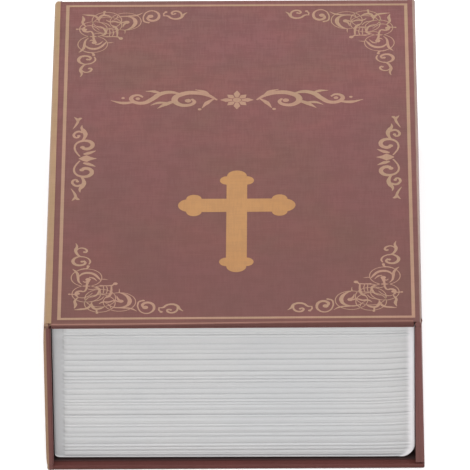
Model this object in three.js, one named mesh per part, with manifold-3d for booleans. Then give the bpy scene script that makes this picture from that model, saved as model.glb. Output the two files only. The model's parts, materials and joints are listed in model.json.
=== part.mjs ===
// A book safe: a hard book cover round a moulded block of pages, with a lockable steel box inside.
// Millimetres, +Z up. The book lies on its back cover: spine at -X, fore edge at +X, tail at -Y, head at +Y.
// The origin is at the middle of the footprint, on the underside.
import * as THREE from "three";
import { mergeVertices } from "three/addons/utils/BufferGeometryUtils.js";
import Module from "manifold-3d";

const wasm = await Module();
wasm.setup();

// Overall size
const frontWidth = 115; // the front cover, from the spine's outer face to the flap's
const bookLength = 180; // head to tail
const bookThickness = 55; // underside to the top of the front cover
const flapLean = 1.2; // how far the flap's foot stands out past its top
const edgeOverhang = 3; // the covers past the page block, at head and tail

// Cover walls: printed paper, board, the paper's turned edge, lining
const paper = 0.2;
const board = 1.2;
const lining = 0.2;
const turnIn = 12; // width of the paper turned in round a board's edge
const liningInset = 2.5; // bare border of turned paper round a lining
const creaseGap = 0.2; // from a crease's roll to the ends of the boards beside it

// Clearances round the page block and the flap
const spineGap = 0.4;
const flapGap = 0.3;
const coverGap = 0.3;
const flapFootGap = 0.3;

// Page block
const spineRim = 8; // its top rim beside the spine
const openRim = 10; // its top rim at the head, tail and fore edge
const blockWall = 2.6;
const blockSkirt = 1.8; // the wall round the steel box
const blockDeck = 2.4; // the top rim's thickness
const foreFillet = 3.4; // round of the lower fore edge
const foreWallCover = 0.8; // material left between that round and the hollow behind it
const spineChamfer = 0.9;
const ribWall = 2;
const screwRibWall = 8;
const longRibs = 4; // ribs in each long side
const pageLinePitch = 2.2;
const pageLineDepth = 0.25;
const pageLineHeight = 0.3;
const smoothColumn = 3.7; // plain strip beside the spine
const smoothRim = 1.8; // plain strip beside the fore edge's corners

// Steel box and lid
const boxGap = 0.3;
const steel = 1.2;
const lidRecess = 1.5; // the lid's top below the page block's
const lidSeatGap = 0.3;

// Lid hinge
const knuckleRadius = 2;
const hingeLeaf = 1;
const hingePinRadius = 1;
const hingeBoreGap = 0.05;
const hingeRoom = 0.8; // from the knuckles to the page block
const hingeStandoff = 0.2; // from the knuckles to the box
const hingeLength = 120;
const knuckleGap = 0.3;
const knuckles = 5; // odd, so that both ends are on the box
const hingeLeafWidth = 10;
const pinHead = 0.5; // rounded ends past the knuckles

// Cam lock in the lid
const lockSetback = 14; // lock's axis to the box's fore edge
const lockHeadRadius = 8;
const lockHeadHeight = 1;
const barrelRadius = 6;
const barrelLength = 12; // below the head
const barrelHoleGap = 0.2;
const plugRadius = 4;
const plugHeadRadius = 5;
const plugHeadHeight = 0.7;
const plugGap = 0.1;
const keySlotWidth = 1.5;
const keySlotLength = 6.4;
const keySlotDepth = 8;
const lockWasherRadius = 8.6;
const lockWasherHeight = 0.8;
const lockNutFlats = 17;
const lockNutHeight = 2.5;
const camReach = 11.5; // axis to tip
const camHubRadius = 5;
const camTipRadius = 4;
const camThickness = 1.5;
const camRunningGap = 0.2;
const tangWidth = 5;
const camScrewRadius = 1.2;
const camScrewGap = 0.15;
const camScrewLength = 5;
const camScrewHeadRadius = 3.8;
const camScrewHeadHeight = 1.6;

// Strike that the cam turns under
const strikeReach = 5.5; // out from the box wall
const strikeWidth = 20;
const strikeHeight = 9;
const strikeCamGap = 0.5;

// Screws from the box into the page block
const screwRadius = 1.4;
const screwHoleGap = 0.3;
const screwHeadRadius = 3;
const screwHeadHeight = 1.6;
const screwLength = 8;
const screwSpacing = 50;
const screwHeight = 25; // above the underside

// Magnets
const magnetRadius = 5;
const magnetGap = 0.3;
const flapMagnetFaceGap = 0.1; // under the paper and over the lining
const blockMagnetHeight = 2;
const blockMagnetCover = 1.2; // page block left in front of it
const magnetHeight = 13; // above the underside

// How round things are drawn
const roundSides = 32;
const smallRoundSides = 20;
const filletSides = 8;
const overrun = 1; // how far a cut runs past what it cuts

// Places that follow from the sizes above
const endY = bookLength / 2;
const coverWall = paper + board + paper + lining;
const backWidth = frontWidth + flapLean;
const spineX = -backWidth / 2;
const backForeX = backWidth / 2;
const frontForeX = spineX + frontWidth;
const creaseRadius = coverWall / 2;
const creaseReach = creaseRadius + creaseGap; // from a crease's axis to the ends of the boards
const spineCreaseX = spineX + creaseRadius;
const flapCreaseX = frontForeX - creaseRadius;
const topCreaseZ = bookThickness - creaseRadius;
const baseCreaseZ = creaseRadius;
const panelSpineX = spineCreaseX + creaseReach;
const panelForeX = flapCreaseX - creaseReach;
const uprightTop = topCreaseZ - creaseReach;
const spineBottom = baseCreaseZ + creaseReach;
const flapBottom = coverWall + flapFootGap;

const blockSpineX = spineX + coverWall + spineGap;
const blockForeX = frontForeX - coverWall - flapGap;
const blockEndY = endY - edgeOverhang;
const blockTop = bookThickness - coverWall - coverGap;
const foreWall = foreFillet + foreWallCover;
const openSpineX = blockSpineX + spineRim;
const openForeX = blockForeX - openRim;
const openEndY = blockEndY - openRim;

const lidTop = blockTop - lidRecess;
const lidBottom = lidTop - steel;
const boxTop = lidBottom - lidSeatGap;
const hingeX = openSpineX + hingeRoom + knuckleRadius;
const hingeZ = lidTop + hingeLeaf - knuckleRadius;
const boxSpineX = hingeX + knuckleRadius + hingeStandoff;
const boxForeX = openForeX - boxGap;
const boxEndY = openEndY - boxGap;
const boxMidX = (boxSpineX + boxForeX) / 2;
const lidSpineX = hingeX + knuckleRadius + 2 * hingeStandoff;
const hingeBoreRadius = hingePinRadius + hingeBoreGap;

const lockX = boxForeX - lockSetback;
const barrelBottom = lidTop - barrelLength;
const barrelBoreRadius = plugRadius + plugGap;
const barrelHoleRadius = barrelRadius + barrelHoleGap;
const camTop = barrelBottom - camRunningGap;
const camBottom = camTop - camThickness;
const strikeBottom = camTop + strikeCamGap;

const screwHoleRadius = screwRadius + screwHoleGap;
const screwXs = [-1, 1].map((side) => boxMidX + (side * screwSpacing) / 2);

// The hollows in a long side of the page block: their ends between the ribs.
const longHollowLength = (2 * openEndY - longRibs * ribWall) / (longRibs + 1);
const longHollowPitch = longHollowLength + ribWall;
const magnetYs = [-longHollowPitch, longHollowPitch];

// Materials
const finish = (color, roughness, metalness) => new THREE.MeshStandardMaterial({ color, roughness, metalness });
const coverPaper = () => finish(0x855c5c, 0.55, 0);
const liningPaper = () => finish(0x6a4240, 0.75, 0);
const greyBoard = () => finish(0x8d857a, 0.9, 0);
const pagePlastic = () => finish(0xd6d6d4, 0.5, 0);
const coatedSteel = () => finish(0x2c2f33, 0.6, 0.2);
const brightSteel = () => finish(0xb9bcc0, 0.35, 1);
const lockChrome = () => finish(0xd7d9dc, 0.15, 1);
const zincSteel = () => finish(0xa9abad, 0.4, 1);
const magnetNickel = () => finish(0xc8c6bf, 0.25, 1);

// A closed solid for cutting and joining, from a geometry.
function solid(geometry) {
  const bare = geometry.index ? geometry.toNonIndexed() : geometry.clone();
  bare.deleteAttribute("normal");
  bare.deleteAttribute("uv");
  const merged = mergeVertices(bare);
  return new wasm.Manifold(
    new wasm.Mesh({
      numProp: 3,
      vertProperties: new Float32Array(merged.attributes.position.array),
      triVerts: new Uint32Array(merged.index.array),
    }),
  );
}

// The geometry of a solid, with flat shading.
function geometryOf(made) {
  const mesh = made.getMesh();
  const points = new Float32Array(mesh.numVert * 3);
  for (let i = 0; i < mesh.numVert; i++) {
    points.set(mesh.vertProperties.subarray(i * mesh.numProp, i * mesh.numProp + 3), i * 3);
  }
  const indexed = new THREE.BufferGeometry();
  indexed.setAttribute("position", new THREE.BufferAttribute(points, 3));
  indexed.setIndex(new THREE.BufferAttribute(new Uint32Array(mesh.triVerts), 1));
  const flat = indexed.toNonIndexed();
  flat.computeVertexNormals();
  return flat;
}

const cut = (from, ...tools) => tools.reduce((left, tool) => left.subtract(tool), from);
const join = (first, ...others) => others.reduce((all, next) => all.add(next), first);

// Moves every point of a geometry by a function of the point.
function reshape(geometry, move) {
  const places = geometry.attributes.position;
  const point = new THREE.Vector3();
  for (let i = 0; i < places.count; i++) {
    point.fromBufferAttribute(places, i);
    move(point);
    places.setXYZ(i, point.x, point.y, point.z);
  }
  geometry.computeVertexNormals();
  return geometry;
}

// A box between two corners. Neighbours given the same value share the same plane exactly.
function block([x0, x1], [y0, y1], [z0, z1]) {
  return reshape(new THREE.BoxGeometry(1, 1, 1), (p) => {
    p.set(p.x < 0 ? x0 : x1, p.y < 0 ? y0 : y1, p.z < 0 ? z0 : z1);
  });
}

// An outline of [x, z] points, run along Y between two ends.
function alongY(outline, y0, y1) {
  const shape = new THREE.Shape(outline.map(([x, z]) => new THREE.Vector2(z, x)));
  const run = new THREE.ExtrudeGeometry(shape, { depth: 1, bevelEnabled: false });
  return reshape(run, (p) => p.set(p.y, p.z > 0 ? y1 : y0, p.x));
}

// An upright disc or tube cutter: a cylinder along Z from its foot to its top.
function post(radius, z0, z1, sides = roundSides) {
  return new THREE.CylinderGeometry(radius, radius, z1 - z0, sides).rotateX(Math.PI / 2).translate(0, 0, (z0 + z1) / 2);
}

// A cylinder along Y, centred on an axis in the XZ plane.
function rod(radius, x, z, y0, y1, sides = smallRoundSides) {
  return new THREE.CylinderGeometry(radius, radius, y1 - y0, sides).translate(x, (y0 + y1) / 2, z);
}

// A shape turned about Z from [radius, z] points, listed upwards on the outside.
function turned(points, sides = roundSides) {
  const profile = points.map(([r, z]) => new THREE.Vector2(r, z));
  return new THREE.LatheGeometry(profile, sides).rotateX(Math.PI / 2);
}

function node(name, geometry, material) {
  const mesh = new THREE.Mesh(geometry, material);
  mesh.name = name;
  return mesh;
}

function group(...children) {
  const made = new THREE.Group();
  made.add(...children);
  return made;
}

// Covers. A panel's layers are counted inwards from its outer face, where depth is 0.
const boardFace = paper;
const boardBack = boardFace + board;
const turnedFace = boardBack + paper;

// The three layers of a panel that lies flat. face is the outer face's height, inward is 1 or -1.
function flatPanel(name, [x0, x1], face, inward, foreEdgeWrapped) {
  const layer = (from, to) => [face + inward * from, face + inward * to].sort((a, b) => a - b);
  const foreBoard = foreEdgeWrapped ? x1 - paper : x1;
  const foreTurn = foreEdgeWrapped ? x1 - turnIn : x1;
  const foreLining = foreEdgeWrapped ? x1 - liningInset : x1;
  const pocketFore = foreEdgeWrapped ? foreBoard : x1 + overrun;
  const windowFore = foreEdgeWrapped ? foreTurn : x1 + overrun;
  const wrap = cut(
    solid(block([x0, x1], [-endY, endY], layer(0, turnedFace))),
    solid(block([x0 - overrun, pocketFore], [paper - endY, endY - paper], layer(boardFace, boardBack))),
    solid(block([x0 - overrun, windowFore], [turnIn - endY, endY - turnIn], layer(boardBack, turnedFace + overrun))),
  );
  const liningEnds = [liningInset - endY, endY - liningInset];
  return group(
    node(name + "_board", block([x0, foreBoard], [paper - endY, endY - paper], layer(boardFace, boardBack)), greyBoard()),
    node(name + "_cover_paper", geometryOf(wrap), coverPaper()),
    node(name + "_lining", block([x0, foreLining], liningEnds, layer(turnedFace, coverWall)), liningPaper()),
  );
}

function spinePanel() {
  const layer = (from, to) => [spineX + from, spineX + to];
  const heights = [spineBottom, uprightTop];
  const past = [spineBottom - overrun, uprightTop + overrun];
  const wrap = cut(
    solid(block(layer(0, turnedFace), [-endY, endY], heights)),
    solid(block(layer(boardFace, boardBack), [paper - endY, endY - paper], past)),
    solid(block(layer(boardBack, turnedFace + overrun), [turnIn - endY, endY - turnIn], past)),
  );
  const liningEnds = [liningInset - endY, endY - liningInset];
  return group(
    node("spine_board", block(layer(boardFace, boardBack), [paper - endY, endY - paper], heights), greyBoard()),
    node("spine_cover_paper", geometryOf(wrap), coverPaper()),
    node("spine_lining", block(layer(turnedFace, coverWall), liningEnds, heights), liningPaper()),
  );
}

// The roll of folded paper that a panel turns on.
function crease(name, x, z) {
  return node(name, rod(creaseRadius, x, z, -endY, endY), coverPaper());
}

// The flap hangs from the front cover's fore edge and leans out towards its foot.
const flapSlope = flapLean / (uprightTop - flapBottom);
const leaned = (geometry) => reshape(geometry, (p) => p.setX(p.x + flapSlope * (uprightTop - p.z)));

function flapMagnet(y) {
  const thickness = board - 2 * flapMagnetFaceGap;
  const disc = new THREE.CylinderGeometry(magnetRadius, magnetRadius, thickness, roundSides).rotateZ(Math.PI / 2);
  const magnet = node(y < 0 ? "flap_magnet_tail" : "flap_magnet_head", disc, magnetNickel());
  const boardMiddle = frontForeX - (boardFace + boardBack) / 2;
  magnet.position.set(boardMiddle + flapSlope * (uprightTop - magnetHeight), y, magnetHeight);
  magnet.rotation.y = -Math.atan(flapSlope);
  return magnet;
}

function flapPanel() {
  const layer = (from, to) => [frontForeX - to, frontForeX - from];
  const boardHeights = [flapBottom + paper, uprightTop];
  const wrap = cut(
    solid(block(layer(0, turnedFace), [-endY, endY], [flapBottom, uprightTop])),
    solid(block(layer(boardFace, boardBack), [paper - endY, endY - paper], [flapBottom + paper, uprightTop + overrun])),
    solid(
      block(
        layer(boardBack, turnedFace + overrun),
        [turnIn - endY, endY - turnIn],
        [flapBottom + turnIn, uprightTop + overrun],
      ),
    ),
  );
  const magnetHoles = magnetYs.map((y) =>
    solid(
      post(magnetRadius + magnetGap, -board - overrun, board + overrun)
        .rotateY(Math.PI / 2)
        .translate(frontForeX - (boardFace + boardBack) / 2, y, magnetHeight),
    ),
  );
  const core = cut(solid(block(layer(boardFace, boardBack), [paper - endY, endY - paper], boardHeights)), ...magnetHoles);
  const liningEnds = [liningInset - endY, endY - liningInset];
  const liningSheet = block(layer(turnedFace, coverWall), liningEnds, [flapBottom + liningInset, uprightTop]);
  return group(
    node("flap_board", leaned(geometryOf(core)), greyBoard()),
    node("flap_cover_paper", leaned(geometryOf(wrap)), coverPaper()),
    node("flap_lining", leaned(liningSheet), liningPaper()),
    ...magnetYs.map(flapMagnet),
  );
}

// Page block: a moulded frame, hollow from below, with page lines on three faces.
function blockOutline() {
  const points = [
    [blockSpineX, blockTop],
    [blockSpineX, coverWall + spineChamfer],
    [blockSpineX + spineChamfer, coverWall],
  ];
  for (let i = 0; i <= filletSides; i++) {
    const turn = ((i / filletSides) * Math.PI) / 2;
    const x = blockForeX - foreFillet + foreFillet * Math.sin(turn);
    points.push([x, coverWall + foreFillet - foreFillet * Math.cos(turn)]);
  }
  points.push([blockForeX, blockTop]);
  return points.reverse();
}

// The hollows under the top rim, between the ribs.
function blockHollows() {
  const heights = [coverWall - overrun, blockTop - blockDeck];
  const sides = [
    [blockSpineX + blockWall, openSpineX - blockSkirt],
    [openForeX + blockSkirt, blockForeX - foreWall],
  ];
  const hollows = [];
  for (let i = 0; i <= longRibs; i++) {
    const start = -openEndY + i * longHollowPitch;
    sides.forEach((across) => hollows.push(solid(block(across, [start, start + longHollowLength], heights))));
  }
  const ribHalf = screwRibWall / 2;
  const stops = [openSpineX, screwXs[0] - ribHalf, screwXs[0] + ribHalf, screwXs[1] - ribHalf, screwXs[1] + ribHalf];
  stops.push(openForeX);
  for (let i = 0; i < stops.length; i += 2) {
    const across = [stops[i], stops[i + 1]];
    hollows.push(solid(block(across, [blockWall - blockEndY, -openEndY - blockSkirt], heights)));
    hollows.push(solid(block(across, [openEndY + blockSkirt, blockEndY - blockWall], heights)));
  }
  return hollows;
}

function pageLines() {
  const lines = [];
  const across = [blockSpineX + smoothColumn, blockForeX - smoothRim];
  const along = [smoothRim - blockEndY, blockEndY - smoothRim];
  const low = coverWall + pageLinePitch;
  const count = Math.floor((blockTop - low) / pageLinePitch);
  for (let i = 0; i < count; i++) {
    const z = low + i * pageLinePitch;
    const heights = [z, z + pageLineHeight];
    lines.push(solid(block(across, [-blockEndY - overrun, pageLineDepth - blockEndY], heights)));
    lines.push(solid(block(across, [blockEndY - pageLineDepth, blockEndY + overrun], heights)));
    if (z > coverWall + foreFillet) {
      lines.push(solid(block([blockForeX - pageLineDepth, blockForeX + overrun], along, heights)));
    }
  }
  return lines;
}

function pageBlock() {
  const opening = block([openSpineX, openForeX], [-openEndY, openEndY], [coverWall - overrun, blockTop + overrun]);
  const screwHoles = screwXs.map((x) => {
    const reach = openEndY + screwLength;
    return solid(rod(screwHoleRadius, x, screwHeight, -reach, reach));
  });
  const pocketEnd = blockForeX - blockMagnetCover;
  const pocketStart = blockForeX - foreWall - overrun;
  const magnetPockets = magnetYs.map((y) =>
    solid(
      post(magnetRadius + magnetGap, pocketStart, pocketEnd)
        .rotateY(Math.PI / 2)
        .translate(0, y, magnetHeight),
    ),
  );
  const made = cut(
    solid(alongY(blockOutline(), -blockEndY, blockEndY)),
    solid(opening),
    ...blockHollows(),
    ...screwHoles,
    ...magnetPockets,
    ...pageLines(),
  );
  return node("page_block", geometryOf(made), pagePlastic());
}

function blockMagnet(y) {
  const pocketEnd = blockForeX - blockMagnetCover;
  const disc = post(magnetRadius, pocketEnd - blockMagnetHeight, pocketEnd).rotateY(Math.PI / 2);
  const magnet = node(y < 0 ? "block_magnet_tail" : "block_magnet_head", disc, magnetNickel());
  magnet.position.set(0, y, magnetHeight);
  return magnet;
}

// Steel box: an open tray with screw holes in its head and tail walls.
function steelBox() {
  const outer = block([boxSpineX, boxForeX], [-boxEndY, boxEndY], [coverWall, boxTop]);
  const inside = block(
    [boxSpineX + steel, boxForeX - steel],
    [steel - boxEndY, boxEndY - steel],
    [coverWall + steel, boxTop + overrun],
  );
  const holes = screwXs.map((x) => solid(rod(screwHoleRadius, x, screwHeight, -boxEndY - overrun, boxEndY + overrun)));
  return node("steel_box", geometryOf(cut(solid(outer), solid(inside), ...holes)), coatedSteel());
}

function boxScrew(name, x, side) {
  const headTop = screwHeadHeight;
  const profile = [
    [0, -screwLength],
    [screwRadius, -screwLength],
    [screwRadius, 0],
    [screwHeadRadius, 0],
    [screwHeadRadius, headTop / 2],
    [screwHeadRadius / 2, headTop],
    [0, headTop],
  ];
  const screw = node(name, turned(profile, smallRoundSides), zincSteel());
  screw.rotation.x = (side * Math.PI) / 2;
  screw.position.set(x, side * (boxEndY - steel), screwHeight);
  return screw;
}

function boxScrews() {
  const screws = [];
  [
    ["tail", -1],
    ["head", 1],
  ].forEach(([end, side]) => {
    screwXs.forEach((x, i) => screws.push(boxScrew(`box_screw_${end}_${i + 1}`, x, side)));
  });
  return screws;
}

// The bracket inside the fore wall that the cam turns under.
function strikeBracket() {
  const wall = boxForeX - steel;
  const outline = [
    [wall - strikeReach, strikeBottom],
    [wall, strikeBottom],
    [wall, strikeBottom + strikeHeight],
    [wall - steel, strikeBottom + strikeHeight],
    [wall - steel, strikeBottom + steel],
    [wall - strikeReach, strikeBottom + steel],
  ];
  const bracket = solid(alongY(outline, -strikeWidth / 2, strikeWidth / 2));
  return node("strike_bracket", geometryOf(bracket), zincSteel());
}

// Lid hinge: knuckles in turn on the box and on the lid, from tail to head.
const knucklePitch = hingeLength / knuckles;

function knuckleSpan(i) {
  const start = -hingeLength / 2 + i * knucklePitch;
  return [start + knuckleGap / 2, start + knucklePitch - knuckleGap / 2];
}

// One leaf with its own knuckles. own says which turn is this leaf's; plateAt gives the plate beside a knuckle.
function hingeLeafSolid(own, plateAt) {
  const parts = [];
  for (let i = 0; i < knuckles; i++) {
    const span = knuckleSpan(i);
    if (own(i)) {
      parts.push(solid(rod(knuckleRadius, hingeX, hingeZ, ...span)));
    }
    parts.push(solid(plateAt(own(i), span)));
  }
  const strip = solid(plateAt(false, [-hingeLength / 2, hingeLength / 2]));
  const bore = solid(rod(hingeBoreRadius, hingeX, hingeZ, -hingeLength, hingeLength));
  return cut(join(strip, ...parts), bore);
}

function boxHingeLeaf() {
  const clear = hingeZ - knuckleRadius - knuckleGap;
  const plate = (mine, span) =>
    block([boxSpineX - hingeLeaf, boxSpineX], span, [hingeZ - hingeLeafWidth, mine ? hingeZ : clear]);
  return node("box_hinge_leaf", geometryOf(hingeLeafSolid((i) => i % 2 === 0, plate)), brightSteel());
}

function lidHingeLeaf() {
  const clear = hingeX + knuckleRadius + knuckleGap;
  const plate = (mine, span) =>
    block([mine ? hingeX : clear, hingeX + hingeLeafWidth], span, [lidTop, lidTop + hingeLeaf]);
  return node("lid_hinge_leaf", geometryOf(hingeLeafSolid((i) => i % 2 === 1, plate)), brightSteel());
}

function hingePin() {
  const half = hingeLength / 2;
  const tip = hingePinRadius / 2;
  const profile = [
    [0, -half - pinHead],
    [tip, -half - pinHead],
    [hingePinRadius, -half],
    [hingePinRadius, half],
    [tip, half + pinHead],
    [0, half + pinHead],
  ];
  const pin = node("lid_hinge_pin", turned(profile, smallRoundSides), brightSteel());
  pin.rotation.x = Math.PI / 2;
  pin.position.set(hingeX, 0, hingeZ);
  return pin;
}

function steelLid() {
  const plate = block([lidSpineX, boxForeX], [-boxEndY, boxEndY], [lidBottom, lidTop]);
  const lockHole = post(barrelHoleRadius, lidBottom - overrun, lidTop + overrun).translate(lockX, 0, 0);
  return node("steel_lid", geometryOf(cut(solid(plate), solid(lockHole))), coatedSteel());
}

// Cam lock. Its pieces are made round the lock's own axis, with heights as in the book.
function lockBarrel() {
  const headTop = lidTop + lockHeadHeight;
  const seat = headTop - plugHeadHeight - plugGap;
  const seatRadius = plugHeadRadius + plugGap;
  const edge = lockHeadHeight / 2;
  const profile = [
    [barrelBoreRadius, barrelBottom],
    [barrelRadius, barrelBottom],
    [barrelRadius, lidTop],
    [lockHeadRadius, lidTop],
    [lockHeadRadius, headTop - edge],
    [lockHeadRadius - edge, headTop],
    [seatRadius, headTop],
    [seatRadius, seat],
    [barrelBoreRadius, seat],
    [barrelBoreRadius, barrelBottom],
  ];
  return node("lock_barrel", turned(profile), lockChrome());
}

function lockPlug() {
  const headTop = lidTop + lockHeadHeight;
  const headBottom = headTop - plugHeadHeight;
  const profile = [
    [0, camTop],
    [plugRadius, camTop],
    [plugRadius, headBottom],
    [plugHeadRadius, headBottom],
    [plugHeadRadius, headTop],
    [0, headTop],
  ];
  const halfTang = tangWidth / 2;
  const tang = block([-halfTang, halfTang], [-halfTang, halfTang], [camBottom, camTop + overrun]);
  const slot = block(
    [-keySlotLength / 2, keySlotLength / 2],
    [-keySlotWidth / 2, keySlotWidth / 2],
    [headTop - keySlotDepth, headTop + overrun],
  );
  const screwHole = post(camScrewRadius + camScrewGap, camBottom - overrun, camBottom + camScrewLength, smallRoundSides);
  const made = cut(join(solid(turned(profile)), solid(tang)), solid(slot), solid(screwHole));
  return node("lock_plug", geometryOf(made), lockChrome());
}

function ring(name, outerRadius, sides, z0, z1, material) {
  const made = cut(
    solid(post(outerRadius, z0, z1, sides)),
    solid(post(barrelHoleRadius, z0 - overrun, z1 + overrun)),
  );
  return node(name, geometryOf(made), material);
}

// The cam at rest points to the tail, clear of the strike.
function lockCam() {
  const tipCentre = camReach - camTipRadius;
  const hub = post(camHubRadius, camBottom, camTop);
  const tip = post(camTipRadius, camBottom, camTop).translate(0, -tipCentre, 0);
  const arm = block([-camTipRadius, camTipRadius], [-tipCentre, 0], [camBottom, camTop]);
  const half = tangWidth / 2 + plugGap;
  const hole = block([-half, half], [-half, half], [camBottom - overrun, camTop + overrun]);
  return node("lock_cam", geometryOf(cut(join(solid(hub), solid(arm), solid(tip)), solid(hole))), zincSteel());
}

function camScrew() {
  const profile = [
    [0, camBottom - camScrewHeadHeight],
    [camScrewHeadRadius / 2, camBottom - camScrewHeadHeight],
    [camScrewHeadRadius, camBottom - camScrewHeadHeight / 2],
    [camScrewHeadRadius, camBottom],
    [camScrewRadius, camBottom],
    [camScrewRadius, camBottom + camScrewLength - camScrewGap],
    [0, camBottom + camScrewLength - camScrewGap],
  ];
  return node("cam_screw", turned(profile, smallRoundSides), zincSteel());
}

function camLock() {
  const nutRadius = lockNutFlats / 2 / Math.cos(Math.PI / 6);
  const washerBottom = lidBottom - lockWasherHeight;
  const lock = group(
    lockBarrel(),
    ring("lock_washer", lockWasherRadius, roundSides, washerBottom, lidBottom, zincSteel()),
    ring("lock_nut", nutRadius, 6, washerBottom - lockNutHeight, washerBottom, zincSteel()),
    lockPlug(),
    lockCam(),
    camScrew(),
  );
  lock.position.set(lockX, 0, 0);
  return lock;
}

const bookSafe = group(
  flatPanel("back", [panelSpineX, backForeX], 0, 1, true),
  crease("base_crease", spineCreaseX, baseCreaseZ),
  spinePanel(),
  crease("spine_crease", spineCreaseX, topCreaseZ),
  flatPanel("front", [panelSpineX, panelForeX], bookThickness, -1, false),
  crease("flap_crease", flapCreaseX, topCreaseZ),
  flapPanel(),
  pageBlock(),
  ...magnetYs.map(blockMagnet),
  steelBox(),
  ...boxScrews(),
  strikeBracket(),
  boxHingeLeaf(),
  hingePin(),
  steelLid(),
  lidHingeLeaf(),
  camLock(),
);

export default bookSafe;
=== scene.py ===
# %% [markdown]
# # Dressing a book safe
#
# The object is a hard-cover book that is really a small safe. Its cover opens at the spine, a flap closes the
# fore edge, and a moulded block of "pages" holds a steel box with a locked lid. The working frame, with every
# piece at its real size, is loaded first. The cells after that give each piece its finish, and remake the
# pieces whose surface needs more than the frame's plain solids.

# %% Load the working frame
import json
import math
import random

import bpy
from mathutils import Matrix, Vector, noise

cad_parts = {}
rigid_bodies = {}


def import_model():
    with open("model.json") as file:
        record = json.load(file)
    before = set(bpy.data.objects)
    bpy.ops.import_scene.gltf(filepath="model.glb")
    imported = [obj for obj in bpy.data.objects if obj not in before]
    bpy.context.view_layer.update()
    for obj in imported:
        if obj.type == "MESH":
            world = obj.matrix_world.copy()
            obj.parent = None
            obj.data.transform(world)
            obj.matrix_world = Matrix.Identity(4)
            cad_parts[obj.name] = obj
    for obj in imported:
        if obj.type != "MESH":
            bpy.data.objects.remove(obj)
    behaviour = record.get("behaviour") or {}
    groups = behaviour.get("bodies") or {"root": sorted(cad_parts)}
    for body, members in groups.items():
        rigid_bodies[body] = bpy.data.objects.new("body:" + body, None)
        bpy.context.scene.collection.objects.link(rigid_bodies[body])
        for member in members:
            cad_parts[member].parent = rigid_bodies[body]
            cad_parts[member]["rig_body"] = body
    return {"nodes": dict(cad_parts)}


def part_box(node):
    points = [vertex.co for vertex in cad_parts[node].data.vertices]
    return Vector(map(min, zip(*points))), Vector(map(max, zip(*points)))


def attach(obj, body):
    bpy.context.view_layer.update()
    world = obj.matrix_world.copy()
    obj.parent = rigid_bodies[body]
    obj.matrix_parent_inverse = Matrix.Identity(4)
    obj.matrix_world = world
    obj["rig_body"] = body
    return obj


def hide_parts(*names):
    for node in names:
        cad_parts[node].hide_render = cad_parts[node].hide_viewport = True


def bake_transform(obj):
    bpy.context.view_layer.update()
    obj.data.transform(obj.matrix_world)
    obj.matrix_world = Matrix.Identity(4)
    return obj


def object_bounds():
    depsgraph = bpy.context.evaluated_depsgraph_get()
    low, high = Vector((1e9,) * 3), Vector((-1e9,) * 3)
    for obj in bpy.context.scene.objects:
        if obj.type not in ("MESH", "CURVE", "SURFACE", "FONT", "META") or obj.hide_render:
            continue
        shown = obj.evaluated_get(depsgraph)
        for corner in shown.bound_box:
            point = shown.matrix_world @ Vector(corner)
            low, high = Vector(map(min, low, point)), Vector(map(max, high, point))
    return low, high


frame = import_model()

cad_box = [list(corner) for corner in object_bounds()]
mm = 0.001

# %% [markdown]
# ## The camera
#
# A long lens from far away keeps the cover almost free of perspective. The camera's place could be found by
# eye, but here it comes from fitting the book's six visible corners, so the render and the photograph line
# up.

# %% Camera
image_size = 470
focal_pixels = 9941.8
sensor_width = 36.0
elevation, yaw, roll = (math.radians(turn) for turn in (34.452, 0.618, -0.65))
camera_distance, camera_right, camera_up = 3135.6 * mm, -0.68 * mm, 21.2 * mm
flat_reach, rise = math.cos(elevation), math.sin(elevation)
level = Vector((math.cos(yaw), math.sin(yaw), 0))
backward = Vector((math.sin(yaw) * flat_reach, -math.cos(yaw) * flat_reach, rise))
right = math.cos(roll) * level + math.sin(roll) * backward.cross(level)
upward = backward.cross(right)
bpy.ops.object.camera_add()
camera = bpy.context.object
camera.name = "camera"
camera.data.sensor_width = sensor_width
camera.data.lens = focal_pixels / image_size * sensor_width
place = backward * camera_distance + right * camera_right + upward * camera_up
camera.matrix_world = Matrix.Translation(place) @ Matrix((right, upward, backward)).transposed().to_4x4()
bpy.context.scene.camera = camera
bpy.context.scene.view_settings.view_transform = "Standard"
print("lens:", round(camera.data.lens), "mm, from", round(place.length, 2), "m away")

# %% [markdown]
# ## Helpers for modelling by hand
#
# Every modelling operator works on what is selected. So a piece is made the only selected one first, and then
# the vertices, edges or faces that an operator should touch are picked by where they are.


# %% Selecting
def leave_editing():
    """Goes back to object mode, in which a mesh can be read and changed."""
    bpy.ops.object.mode_set(mode="OBJECT")


def only(piece):
    """Leaves one piece selected and active, in object mode."""
    if bpy.context.object and bpy.context.object.mode != "OBJECT":
        leave_editing()
    bpy.ops.object.select_all(action="DESELECT")
    piece.select_set(True)
    bpy.context.view_layer.objects.active = piece


def pick(piece, kind, test):
    """Goes to edit mode with those VERT, EDGE or FACE items selected whose every corner passes the test."""
    only(piece)
    bpy.ops.object.mode_set(mode="EDIT")
    bpy.ops.mesh.select_mode(type=kind)
    bpy.ops.mesh.select_all(action="DESELECT")
    leave_editing()
    mesh = piece.data
    passed = [test(vertex.co) for vertex in mesh.vertices]
    if kind == "VERT":
        for vertex in mesh.vertices:
            vertex.select = passed[vertex.index]
    else:
        for item in mesh.edges if kind == "EDGE" else mesh.polygons:
            item.select = all(passed[i] for i in item.vertices)
    bpy.ops.object.mode_set(mode="EDIT")


def everything(piece):
    """Goes to edit mode with the whole piece selected."""
    only(piece)
    bpy.ops.object.mode_set(mode="EDIT")
    bpy.ops.mesh.select_all(action="SELECT")


def turned_out(piece, weld=0.0):
    """Merges points closer than weld, and turns every face outwards."""
    everything(piece)
    if weld:
        bpy.ops.mesh.remove_doubles(threshold=weld)
    bpy.ops.mesh.normals_make_consistent(inside=False)
    leave_editing()


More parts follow.
